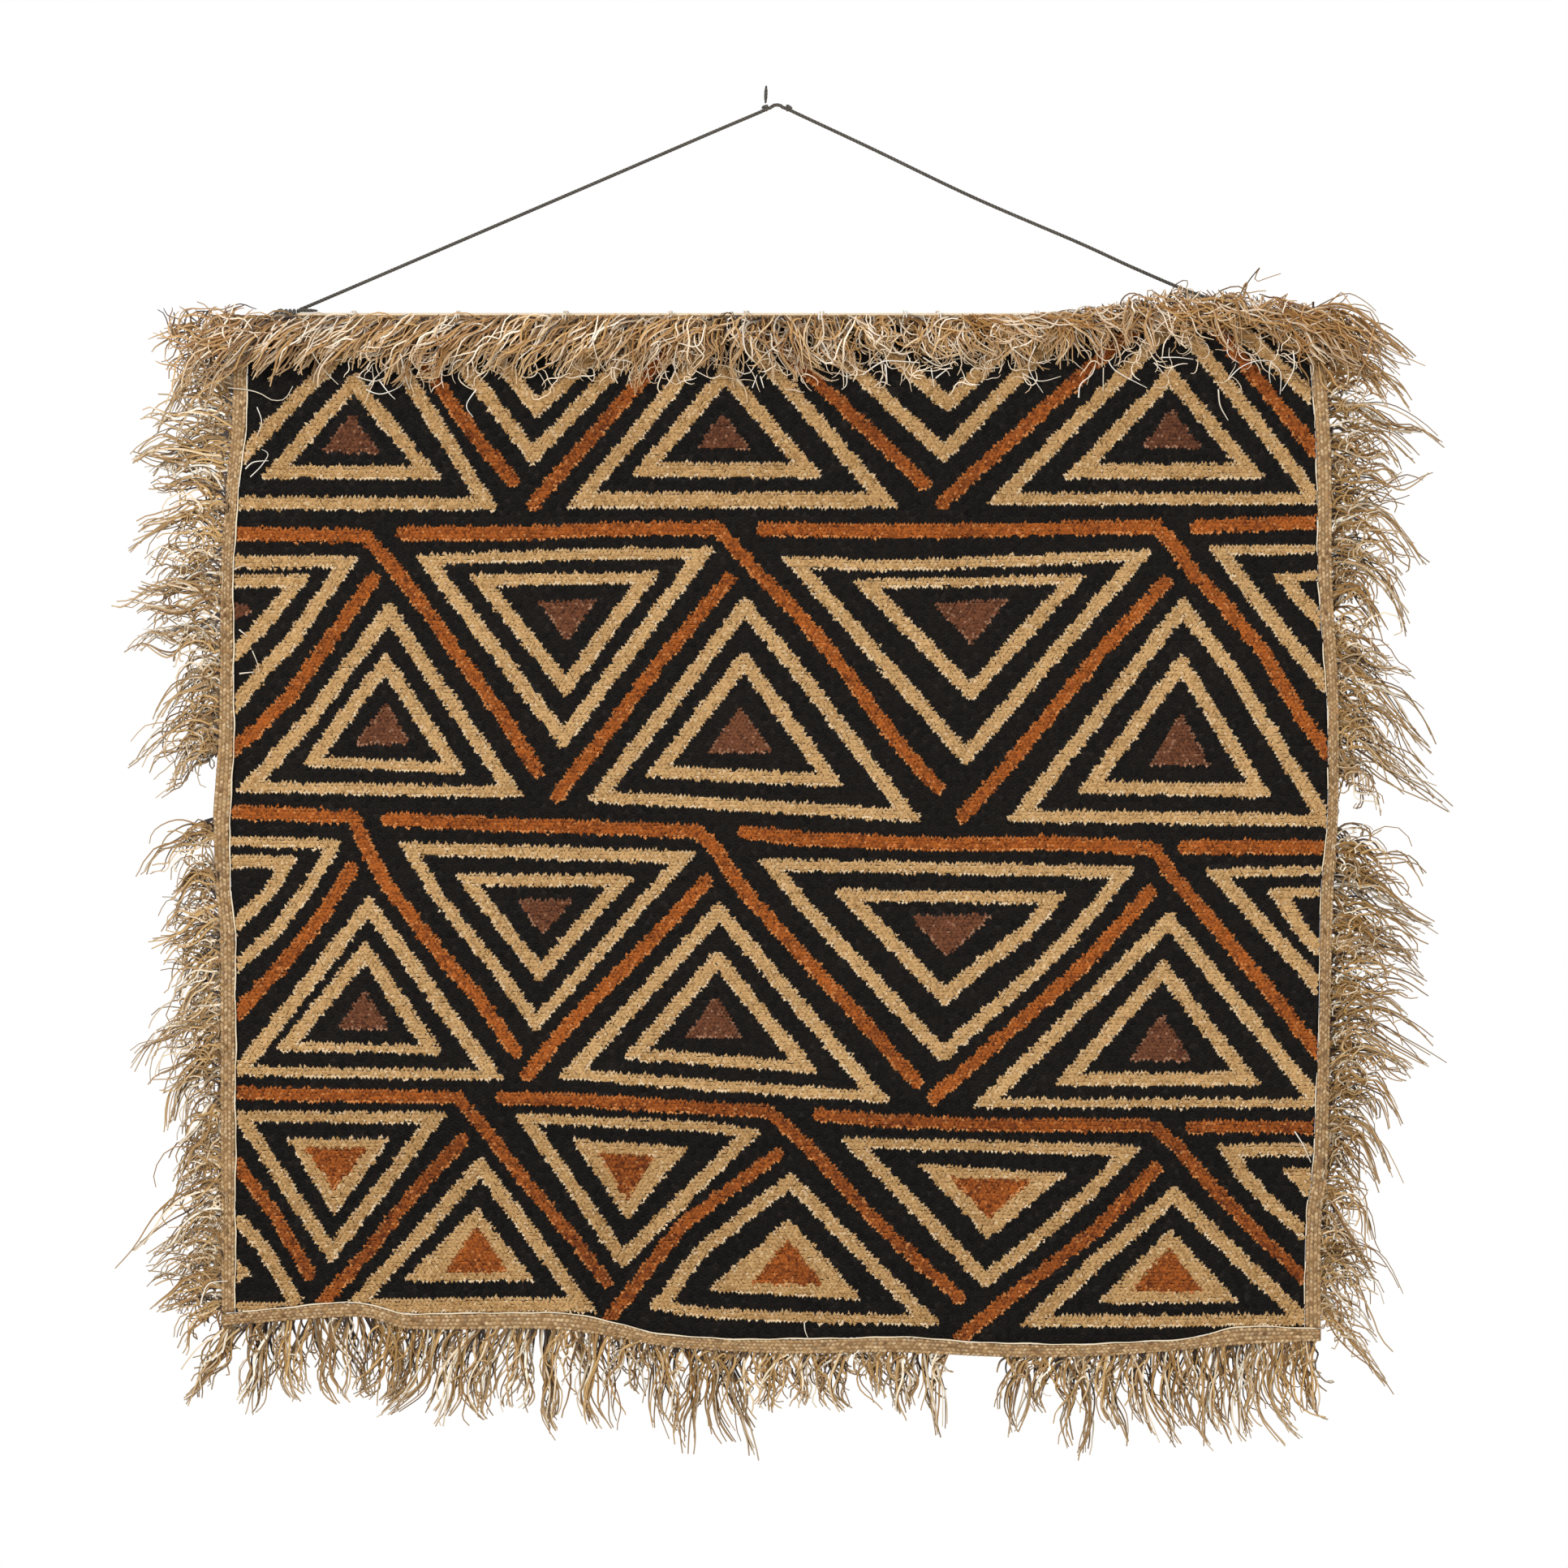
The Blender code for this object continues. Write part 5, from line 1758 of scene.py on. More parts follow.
@dataclass
class Binding:
    """One plaited strip: a crowned core with rows of raffia strokes over it."""

    edge: Edge
    stations: int = 130
    plaits: int = 4
    stroke_step: float = 2.7
    stroke_half: float = 1.95
    stroke_thick: float = 0.62
    stroke_share: float = 0.56
    tilt: float = 0.34
    look_ahead: float = 0.002
    crown: Span = (0.1, 0.9)
    back: Span = (3.2, 0.7)
    core_tone: float = 0.35
    seed: int = 51

    def line(self, across: Floats, along: Floats) -> tuple[Floats, Floats]:
        """Place shares across and along the strip on the face plane.

        Args:
            across: shares of the strip's width, from the cloth outwards.
            along: shares of its length.

        Returns:
            The x and the z of each place.
        """
        gap = FACE.gap
        if self.edge in (Edge.LEFT, Edge.RIGHT):
            left = self.edge is Edge.LEFT
            rows, side, corner = (LEFT_EDGE, -1.0, 0) if left else (RIGHT_EDGE, 1.0, 1)
            foot_z = float(FACE.foot.read(FACE.foot_corners()[corner]))
            z = FACE.head_z + (foot_z - FACE.head_z) * along
            x = EdgeLine(rows).read(z) + side * (gap + across * EdgeLine(rows, "binding").read(z))
            return x, z
        if self.edge is Edge.BOTTOM:
            x = BOTTOM_EDGE[0].along + (BOTTOM_EDGE[-1].along - BOTTOM_EDGE[0].along) * along
            return x, FACE.foot.read(x) - gap - across * EdgeLine(BOTTOM_EDGE, "binding").read(x)
        z = FACE.head_z + (FACE.top_z + gap - FACE.head_z) * across
        low, high = FACE.left.read(z) + gap, FACE.right.read(z) - gap
        return low + (high - low) * along, z

    def front(self, across: Floats, x: Floats, z: Floats) -> Floats:
        """Give the core's front, drawn in at its two long edges."""
        return FACE.front(x, z) + self.crown[0] + self.crown[1] * np.abs(2.0 * across - 1.0) ** 5

    def build(self, material: Material) -> Thing:
        """Make the strip as one piece.

        Args:
            material: the plait's finish.

        Returns:
            The strip: its core with the strokes over it.
        """
        shares_across = np.array((0.0, 0.07, 0.25, 0.5, 0.75, 0.93, 1.0))
        across, along = np.meshgrid(shares_across, np.linspace(0.0, 1.0, self.stations + 1))
        x, z = self.line(across, along)
        front = np.stack((x, self.front(across, x, z), z), axis=2)
        back_y = FACE.front(x, z) + self.back[0] - self.back[1] * np.abs(2.0 * across - 1.0) ** 5
        back = np.stack((x, back_y, z), axis=2)
        faces, _ = slab_faces(self.stations + 1, len(shares_across))
        name = "binding_" + self.edge.value + "_plait"
        mesh = plain_mesh(name, np.concatenate((front.reshape(-1, 3), back.reshape(-1, 3))), faces)
        mesh.shade_smooth()
        none = np.zeros(len(mesh.vertices))
        add_values(mesh, tone=none + self.core_tone, tip=none, glow=none)
        core = new_object(name + "_core", mesh)
        core.data.materials.append(material)
        strokes = self.strokes(name, material)
        join_into(strokes, core)
        strokes.name = name
        return finish_piece(strokes, ("binding_" + self.edge.value,))

    def strokes(self, name: str, material: Material) -> Thing:
        """Lay the strokes of the plait over the core.

        Args:
            name: the strip's name.
            material: the plait's finish.

        Returns:
            All strokes as one object.
        """
        rng = np.random.default_rng(self.seed + len(self.edge.value))
        ends = self.line(np.array((0.5, 0.5)), np.array((0.0, 1.0)))
        length = float(np.hypot(np.diff(ends[0]), np.diff(ends[1]))[0])
        count = int(length / self.stroke_step)
        plait = np.repeat(np.arange(self.plaits), count)
        place = np.tile(np.arange(count), self.plaits) + 0.5 + 0.45 * (plait % 2)
        across = (plait + 0.5) / self.plaits + rng.normal(0.0, 0.012, len(plait))
        along = place / (count + 0.6) + rng.normal(0.0, 0.12, len(plait)) / count
        lean = np.where(plait % 2, -self.tilt, self.tilt) + rng.normal(0.0, 0.12, len(plait))
        look = self.look_ahead
        across, along = np.clip(across, 0.04, 0.96), np.clip(along, look, 1.0 - look)
        x, z = self.line(across, along)
        ahead_x, ahead_z = self.line(across, np.minimum(along + look, 1.0))
        behind_x, behind_z = self.line(across, np.maximum(along - look, 0.0))
        heading = np.arctan2(ahead_x - behind_x, ahead_z - behind_z) + lean
        wide_x, wide_z = self.line(np.ones_like(along), along)
        near_x, near_z = self.line(np.zeros_like(along), along)
        width = np.hypot(wide_x - near_x, wide_z - near_z)
        y = self.front(across, x, z) - 0.05
        mesh = bare_points(name + "_places", np.stack((x, y, z), axis=1))
        turn = np.stack((rng.normal(0.0, 0.05, len(x)), heading, np.zeros(len(x))), axis=1)
        half = width / self.plaits * self.stroke_share
        deep, long = np.full(len(x), self.stroke_thick), np.full(len(x), self.stroke_half)
        size = np.stack((half, deep, long), axis=1) * MM
        # glow sets, at random, how strong each stroke's painted crown highlight is.
        add_values(
            mesh, turn=turn, size=size * rng.uniform(0.85, 1.15, (len(x), 1)),
            tone=rng.beta(2.4, 1.3, len(x)), glow=np.clip(rng.normal(0.35, 0.3, len(x)), 0.0, 1.0),
        )
        unit = self.stroke()
        made = UnitScatter(unit, 1.0, self.seed).make(name, mesh, material)
        bpy.data.objects.remove(unit, do_unlink=True)
        return made

    @staticmethod
    def stroke() -> Thing:
        """Make the stroke: a small closed shape with six points, a metre to each from its middle."""
        points = np.array([(1, 0, 0), (-1, 0, 0), (0, 1, 0), (0, -1, 0), (0, 0, 1), (0, 0, -1)]) / MM
        faces = [(a, b, c) for a in (0, 1) for b in (2, 3) for c in (4, 5)]
        mesh = plain_mesh("stroke", points, faces)
        # Painted highlight: the tip values make the stroke's front crown pale and its sides and back deep.
        add_values(mesh, tip=np.array((0.1, 0.1, 0.0, 1.0, 0.2, 0.2)))
        return new_object("stroke", mesh)


def join_into(keeper: Thing, *others: Thing) -> None:
    """Join meshes into one object.

    Args:
        keeper: the object that keeps them all.
        others: the objects that go into it.
    """
    chosen = [keeper, *others]
    with bpy.context.temp_override(
        active_object=keeper, object=keeper, selected_editable_objects=chosen, selected_objects=chosen
    ):
        bpy.ops.object.join()


# The fringe


@dataclass(frozen=True)
class FringeStyle:
    """How the strands of a fringe grow."""

    per_mm: float
    steps: int = 14
    half: Span = (0.52, 0.84)
    tangled_share: float = 0.7
    tangled_reach: Span = (0.16, 0.76)
    tangled_curl: Span = (3.0, 7.5)
    tangled_turns: Span = (0.9, 2.3)
    reach: Span = (0.74, 1.06)
    curl: Span = (2.2, 5.2)
    turns: Span = (0.8, 2.0)
    wisp_span: float = 5.0
    depth: Span = (-2.2, 3.4)
    fan: float = 4.0


@dataclass
class Wisps:
    """How a lock's strands hang together: the wisp that each is in, and which are tangled."""

    count: int
    wisp: Marks
    tangled: Marks
    rng: Rng

    def draw(self, grouped: Span, loose: Span) -> Floats:
        """Draw a value for each strand, nearly the same within a wisp and any for a tangled one.

        Args:
            grouped: the least and the most for the wisps.
            loose: the least and the most for the tangled strands.

        Returns:
            The values.
        """
        strands = len(self.wisp)
        together = self.rng.uniform(*grouped, int(self.wisp.max()) + 1)[self.wisp]
        together = together * self.rng.uniform(0.88, 1.06, strands)
        return np.where(self.tangled, self.rng.uniform(*loose, strands), together)


def across_of(way: Points, along_edge: Points) -> Points:
    """Give a unit vector across a way on the face plane, on the side of the edge's run."""
    across = np.array((-way[2], 0.0, way[0])) / math.hypot(way[0], way[2])
    return across if float(across @ along_edge) > 0.0 else -across


@dataclass
class Fringe:
    """The raffia fringe of one edge: thousands of strands in the locks that they form."""

    edge: Edge
    locks: tuple[Lock, ...]
    style: FringeStyle
    seed: int
    root_depth: float = 1.5
    head_root_z: float = -131.6
    head_root_depth: float = -1.2
    head_mid_y: float = -17.0
    head_tip_y: float = -15.6
    head_layer: float = 3.6
    back_layer: float = 4.0

    def root(self, along: Floats) -> Points:
        """Give the roots of strands at places along the edge, in mm.

        Args:
            along: places along the edge, in mm.

        Returns:
            The root at each place.
        """
        gap = FACE.gap
        if self.edge in (Edge.LEFT, Edge.RIGHT):
            rows, side = (LEFT_EDGE, -1.0) if self.edge is Edge.LEFT else (RIGHT_EDGE, 1.0)
            x = EdgeLine(rows).read(along) + side * (EdgeLine(rows, "binding").read(along) + gap)
            return np.stack((x, FACE.front(x, along) + self.root_depth, along), axis=-1)
        if self.edge is Edge.BOTTOM:
            z = FACE.foot.read(along) - EdgeLine(BOTTOM_EDGE, "binding").read(along) - gap
            return np.stack((along, FACE.front(along, z) + self.root_depth, z), axis=-1)
        z = np.full(np.shape(along), self.head_root_z)
        return np.stack((along, FACE.front(along, z) + self.head_root_depth, z), axis=-1)

    def grow(self, number: int, lock: Lock, rng: Rng) -> StrandSet:
        """Grow the strands of one lock.

        Args:
            number: the lock's place in its row, which says its layer.
            lock: the lock.
            rng: the source of small differences.

        Returns:
            The lock's strands.
        """
        style, span = self.style, abs(lock.end - lock.start)
        count = max(6, int(span * style.per_mm))
        u = rng.uniform(-0.08, 1.08, count)
        roots = self.root(lock.start + (lock.end - lock.start) * u)
        roots[:, 1] += rng.normal(0.0, 0.5, count)
        bunches = max(2, round(span / style.wisp_span))
        wisp, tangled = rng.integers(0, bunches, count), rng.random(count) < style.tangled_share
        wisps = Wisps(bunches, wisp, tangled, rng)
        mids, tips, across = self.spread(lock, u, wisps)
        layer = rng.uniform(*style.depth, count)
        if self.edge is Edge.TOP:
            front = self.head_layer * (number % 2)
            mids[:, 1] = self.head_mid_y - front + layer
            tips[:, 1] = self.head_tip_y - front + layer
        else:
            back = self.back_layer * (1 - number % 2)
            mids[:, 1] += 0.6 * back + layer
            tips[:, 1] += back + layer
        reach = wisps.draw(style.reach, style.tangled_reach)
        t = np.linspace(0.0, 1.0, style.steps)
        share = (t[None, :] * reach[:, None])[:, :, None]
        pull = 2.0 * mids - (roots + tips) / 2.0
        rest = 1.0 - share
        points = roots[:, None] * rest**2 + pull[:, None] * (2.0 * share * rest) + tips[:, None] * share**2
        hump = lock.rise * 6.75 * (share * rest**2)[:, :, 0]
        points[:, :, 2] += hump * rng.uniform(0.4, 1.15, count)[:, None]
        points = points + self.curls(points, t, across, wisps)
        if self.edge is Edge.TOP:
            limit = FACE.front(points[:, :, 0], points[:, :, 2]) - 0.7
            below = points[:, :, 2] < FACE.head_z
            points[:, :, 1] = np.where(below, np.minimum(points[:, :, 1], limit), points[:, :, 1])
        half = rng.uniform(*style.half, count)[:, None] * (1.0 - 0.4 * t[None, :] ** 1.6)
        deepness = (layer - style.depth[0]) / (style.depth[1] - style.depth[0])
        shade = np.clip(deepness**1.3 * 1.25 + rng.normal(0.0, 0.15, count), 0.0, 1.0)
        return StrandSet(points, half, rng.random(count), shade)

    def spread(self, lock: Lock, u: Floats, wisps: Wisps) -> tuple[Points, Points, Points]:
        """Spread the strands of a lock at its middle and at its tip.

        Args:
            lock: the lock.
            u: where on the lock's stretch of edge each strand is rooted, as a share.
            wisps: how its strands hang together.

        Returns:
            The middle and the tip of each strand, and the way across the lock.
        """
        rng, fan, span = wisps.rng, self.style.fan, abs(lock.end - lock.start)
        first, last = self.root(np.array(lock.start)), self.root(np.array(lock.end))
        centre = (first + last) / 2.0
        mid = np.array((lock.mid_x, centre[1], lock.mid_z))
        tip = np.array((lock.tip_x, centre[1], lock.tip_z))
        mid_across = across_of(mid - centre, last - first)
        tip_across = across_of(tip - mid, last - first)
        apart = (wisps.wisp + 0.5) / wisps.count - 0.5
        astray = rng.normal(0.0, 0.7 * fan, wisps.count)[wisps.wisp]
        loose = (u - 0.5) * span + rng.normal(0.0, 1.4 * fan, len(u))
        grouped = 0.85 * span * apart + 0.6 * astray + rng.normal(0.0, 2.2, len(u))
        mids = mid + mid_across * np.where(wisps.tangled, loose, grouped)[:, None]
        grouped = 0.75 * span * apart + astray + rng.normal(0.0, 1.3, len(u))
        tips = tip + tip_across * np.where(wisps.tangled, loose, grouped)[:, None]
        return mids, tips, mid_across

    def curls(self, points: Points, t: Floats, across: Points, wisps: Wisps) -> Points:
        """Curl strands to and fro across the way that they grow, and the tangled ones in loops.

        Args:
            points: the strands' points.
            t: the share of the strand at each point.
            across: the way across the lock.
            wisps: how the strands hang together.

        Returns:
            How far each point moves.
        """
        style, once = self.style, (0.0, 2.0 * math.pi)
        size = wisps.draw(style.curl, style.tangled_curl)
        turns = wisps.draw(style.turns, style.tangled_turns)
        start = wisps.draw(once, once) + wisps.rng.normal(0.0, 0.4, len(points))
        angle = 2.0 * math.pi * turns[:, None] * t[None, :] + start[:, None]
        grown = size[:, None] * t[None, :] ** 0.6
        sway = grown * (np.sin(angle) - np.sin(start)[:, None])
        looped = np.where(wisps.tangled, 1.0, 0.35)[:, None]
        onward = looped * grown * (np.cos(angle) - np.cos(start)[:, None])
        depth = 0.3 * grown * np.sin(angle + 1.9) * np.minimum(1.0, 2.0 * t[None, :])
        way = points[:, -1] - points[:, 0]
        way = way / np.linalg.norm(way, axis=1, keepdims=True)
        crimp = 0.5 * np.sin(angle * 2.7 + 1.0) * t[None, :]
        moved = (sway + crimp)[:, :, None] * across + onward[:, :, None] * way[:, None]
        moved[:, :, 1] += np.clip(depth, -2.5, 2.0)
        return moved

    def build(self, material: Material) -> Thing:
        """Make the fringe as one piece."""
        rng = np.random.default_rng(self.seed)
        sets = [self.grow(number, lock, rng) for number, lock in enumerate(self.locks)]
        name = "fringe_" + self.edge.value + "_strands"
        return StrandSpinner().piece(name, sets, material, replaced=("fringe_" + self.edge.value,))


class HayZone(NamedTuple):
    """A stretch along the head where loose strands lie over each other, headings in degrees."""

    low_x: float
    high_x: float
    count: int
    z: float
    spread: float
    heading: float
    sway: float
    shortest: float
    longest: float
    bend: float
    pale: float
    thin: float = 1.0


HAY_ZONES = (
    HayZone(-350, -55, 400, -145, 6.5, -139, 14, 18, 42, 0.6, 0.3),
    HayZone(-70, 160, 260, -143, 6.5, -95, 45, 12, 32, 1.4, 0.45),
    HayZone(120, 340, 470, -131, 4.8, -16, 28, 16, 40, 0.6, 0.3),
    HayZone(322, 368, 130, -145, 11.0, -38, 24, 16, 42, 0.7, 0.1),
    HayZone(-372, -330, 110, -145, 11.0, -150, 45, 14, 34, 1.4, 0.1),
    HayZone(185, 320, 60, -120, 3.0, 55, 40, 8, 18, 0.7, 0.2),
    HayZone(-270, -60, 80, -164, 5.5, -115, 40, 9, 22, 1.8, 1.0, 0.6),
    HayZone(-75, 135, 110, -160, 6.5, -90, 60, 9, 24, 2.2, 1.0, 0.6),
    HayZone(130, 330, 85, -154, 6.5, -60, 65, 10, 24, 2.6, 1.0, 0.6),
)
HEAD_OUTLINE = np.array(groups_of(
    "-380 -126, -330 -123, -300 -130, 160 -130, 180 -127, 218 -121, 246 -112, 300 -118, 345 -127, 380 -137"
))


@dataclass
class Hay:
    """The loose strands of the head's fringe, which lie on its locks every way."""

    steps: int = 9
    half: Span = (0.42, 0.7)
    lift: float = 9.0
    rise: Span = (-174.0, -148.0)
    seed: int = 77

    def lay(self, zone: HayZone, rng: Rng) -> StrandSet:
        """Lay the strands of one zone.

        Args:
            zone: where they lie and which way.
            rng: the source of small differences.

        Returns:
            The strands.
        """
        count = zone.count
        t = np.linspace(0.0, 1.0, self.steps)
        heading = np.radians(rng.normal(zone.heading, zone.sway, count))
        bend, wave = rng.normal(0.0, zone.bend, count), rng.uniform(0.1, 0.5, count)
        start = rng.uniform(0.0, 2.0 * math.pi, count)
        angle = heading[:, None] + bend[:, None] * (t - 0.5)[None, :]
        angle = angle + wave[:, None] * np.sin(9.0 * t[None, :] + start[:, None])
        step = rng.uniform(zone.shortest, zone.longest, count)[:, None] / (self.steps - 1)
        x = np.cumsum(np.cos(angle) * step, axis=1)
        z = np.cumsum(np.sin(angle) * step, axis=1)
        x = x - x.mean(axis=1, keepdims=True) + rng.uniform(zone.low_x, zone.high_x, count)[:, None]
        z = z - z.mean(axis=1, keepdims=True) + rng.normal(zone.z, zone.spread, count)[:, None]
        over = (z - np.interp(x, *HEAD_OUTLINE.T)).max(axis=1) + rng.exponential(1.6, count)
        z = z - np.maximum(over, 0.0)[:, None]
        share = ease(z, *self.rise)
        layer = rng.uniform(0.15, 1.0, count)
        arch = 0.8 * np.sin(6.0 * t[None, :] + start[:, None])
        y = FACE.front(x, z) - 1.6 - layer[:, None] * self.lift * share + arch * share
        thinning = 1.0 - 0.45 * (2.0 * t[None, :] - 1.0) ** 2
        half = zone.thin * rng.uniform(*self.half, count)[:, None] * thinning
        is_pale = rng.random(count) < zone.pale
        tone = np.where(is_pale, rng.uniform(0.88, 1.0, count), rng.uniform(0.0, 0.85, count))
        shade = 1.3 * (1.0 - layer) - 0.2 - (zone.pale == 1.0) + rng.normal(0.0, 0.1, count)
        shade = np.clip(shade, 0.0, 1.0)
        return StrandSet(np.stack((x, y, z), axis=2), half, tone, shade)

    def build(self, material: Material) -> Thing:
        """Make them as one piece."""
        rng = np.random.default_rng(self.seed)
        sets = [self.lay(zone, rng) for zone in HAY_ZONES]
        return StrandSpinner().piece("top_hay", sets, material)


# A stitch's way round the rod: its share of the lean, then y and z
STITCH_LOOP = groups_of(
    "0 -11.9 -134.6, 0.2 -11.6 -131, 0.4 -7 -127.4, 0.6 0 -126.6, 0.8 4.4 -129, "
    "1 4.6 -133, 0.9 1 -136.3, 0.5 -6 -136.2, 0 -11.9 -135.4"
)

# The pale threads along the strips: the way into the cloth, how many pieces and how thick
EDGE_RUNS = ((Edge.LEFT, 1.0, 1, 0.42), (Edge.BOTTOM, 1.0, 3, 0.42), (Edge.RIGHT, -1.0, 16, 0.34))


@dataclass
class ThreadWork:
    """The loose threads on the pile, the pale edge threads and the rod's stitches."""

    steps: int = 14
    half: float = 0.42
    stitch_half: float = 0.48
    rise: Span = (-172.0, -148.0)
    seed: int = 91

    def lift(self, x: Floats, z: Floats) -> Floats:
        """Say how far in front of the pile a thread lies: on the fringe near the head."""
        return 1.0 + 9.0 * ease(z, *self.rise)

    def loose(self, material: Material) -> Thing:
        """Lay the loose threads.

        Args:
            material: the threads' finish.

        Returns:
            All of them as one piece.
        """
        rng = np.random.default_rng(self.seed)
        rows = []
        for row in LOOSE_THREADS:
            path = even_path(smooth_path(groups_of(row), 1.5), self.steps)
            x, z = path[:, 0], path[:, 1]
            arch = np.sin(np.linspace(0.0, math.pi, self.steps)) * rng.uniform(0.3, 1.6)
            rows.append(np.stack((x, FACE.front(x, z) - self.lift(x, z) - arch, z), axis=1))
        points = np.array(rows)
        t = np.linspace(0.0, 1.0, self.steps)
        half = self.half * rng.uniform(0.8, 1.25, len(rows))[:, None] * (1.0 - 0.45 * t[None, :])
        group = StrandSet(points, half, rng.uniform(0.7, 1.0, len(rows)), np.zeros(len(rows)))
        return StrandSpinner(5, True).piece("loose_threads", [group], material)

    def edging(self, material: Material) -> Thing:
        """Run the pale thread along the inner edge of the side and bottom strips.

        Args:
            material: the thread's finish.

        Returns:
            All of it as one piece.
        """
        rng = np.random.default_rng(self.seed + 1)
        sets = []
        for edge, side, pieces, thick in EDGE_RUNS:
            strip = Binding(edge)
            bounds = np.linspace(0.02, 0.995, pieces + 1)
            for low, high in zip(bounds, bounds[1:]):
                if edge is Edge.RIGHT:
                    high = low + (high - low) * rng.uniform(0.35, 0.85)
                steps = max(8, int((high - low) * 160))
                along = np.linspace(low, high, steps)
                x, z = strip.line(np.full(steps, 0.0), along)
                wave = np.sin(along * 61.0 + side) * 0.35 + np.sin(along * 173.0) * 0.2
                if edge is Edge.BOTTOM:
                    z = z + 0.5 + wave
                else:
                    x = x + side * (0.4 + wave)
                y = FACE.front(x, z) - 0.35
                points, half = np.stack((x, y, z), axis=1), thick * (1.0 + 0.25 * np.sin(along * 97.0))
                sets.append(StrandSet(points[None], half[None], np.array((0.95,)), np.zeros(1)))
        return StrandSpinner(5, True).piece("edge_threads", sets, material, "plaited_raffia")

    def stitches(self, material: Material) -> Thing:
        """Sew the head of the cloth to the rod.

        Args:
            material: the stitches' finish.

        Returns:
            All of them as one piece.
        """
        rng = np.random.default_rng(self.seed + 2)
        rows = []
        for stitch in ROD_STITCHES:
            for turn in range(2):
                start = stitch.x + turn * 1.6
                lean = stitch.lean * (1.0 if turn else 0.7)
                loop = [(start + share * lean, y, z) for share, y, z in STITCH_LOOP]
                rows.append(even_path(smooth_path(loop, 1.5), 22))
        points = np.array(rows)
        half = np.full(points.shape[:2], self.stitch_half)
        group = StrandSet(points, half, rng.uniform(0.55, 0.95, len(rows)), np.zeros(len(rows)))
        return StrandSpinner(5, True).piece("rod_stitches", [group], material)


# The rod and the cord


@dataclass
class Rod:
    """The thin pale rod behind the top edge."""

    left_x: float = -307.5
    right_x: float = 325.0
    z: float = -131.5
    radius: float = 4.0
    sides: int = 32
    rings: int = 18
    rounding: float = 0.6
    margin: float = 20.0
    wander: float = 0.12
    seed: int = 17

    def build(self) -> Thing:
        """Make the rod, a little uneven as hand-cut wood is, with softened ends."""
        rng = np.random.default_rng(self.seed)
        stations = [(self.left_x, self.radius - self.rounding), (self.left_x + self.rounding, self.radius)]
        for x in np.linspace(self.left_x + self.margin, self.right_x - self.margin, self.rings):
            stations.append((float(x), self.radius + float(rng.uniform(-self.wander, 0.0))))
        stations.append((self.right_x - self.rounding, self.radius))
        stations.append((self.right_x, self.radius - self.rounding))
        turn = np.linspace(0.0, 2.0 * math.pi, self.sides, endpoint=False)
        points = [(x, r * math.cos(a), self.z + r * math.sin(a)) for x, r in stations for a in turn]
        mesh = plain_mesh("rod_wood", np.array(points), tube_faces(len(stations), self.sides))
        mesh.shade_smooth()
        mesh.set_sharp_from_angle(angle=math.radians(40))
        return finish_piece(new_object("rod_wood", mesh), ("rod",), WoodFinish().material())


@dataclass
class Rope:
    """A twisted tube along a path."""

    radius: float
    strands: int = 3
    groove: float = 0.16
    pitch: float = 6.5
    sides: int = 12
    step: float = 0.95

    def mesh(self, name: str, route: Points, taper: float = 0.0) -> Mesh:
        """Make the tube.

        Args:
            name: the mesh's name.
            route: points along it in mm.
            taper: how much thinner the two ends are, as a share.

        Returns:
            The closed mesh.
        """
        length = float(np.linalg.norm(np.diff(route, axis=0), axis=1).sum())
        path = even_path(route, max(4, int(length / self.step)))
        heading = np.gradient(path, axis=0)
        heading /= np.linalg.norm(heading, axis=1, keepdims=True)
        side = np.cross(heading[0], (0.3, 1.0, 0.2))
        turn = np.linspace(0.0, 2.0 * math.pi, self.sides, endpoint=False)
        rings, tips = [], []
        for index, (spot, way) in enumerate(zip(path, heading)):
            side = side - way * float(side @ way)
            side = side / np.linalg.norm(side)
            other = np.cross(way, side)
            run = length * index / (len(path) - 1)
            lobes = np.cos(self.strands * (turn - 2.0 * math.pi * run / self.pitch))
            near_end = min(run, length - run) / (3.0 * self.radius)
            thin = 1.0 - taper * max(0.0, 1.0 - near_end)
            radius = self.radius * thin * (1.0 - self.groove * (0.5 - 0.5 * lobes))
            ring = np.outer(radius * np.cos(turn), side) + np.outer(radius * np.sin(turn), other)
            rings.append(spot + ring)
            # Painted shade: the tip value is low in the grooves and high on the strands' crowns.
            tips.append(0.5 + 0.5 * lobes)
        mesh = plain_mesh(name, np.concatenate(rings), tube_faces(len(path), self.sides))
        add_values(mesh, tip=np.concatenate(tips))
        mesh.shade_smooth()
        return mesh


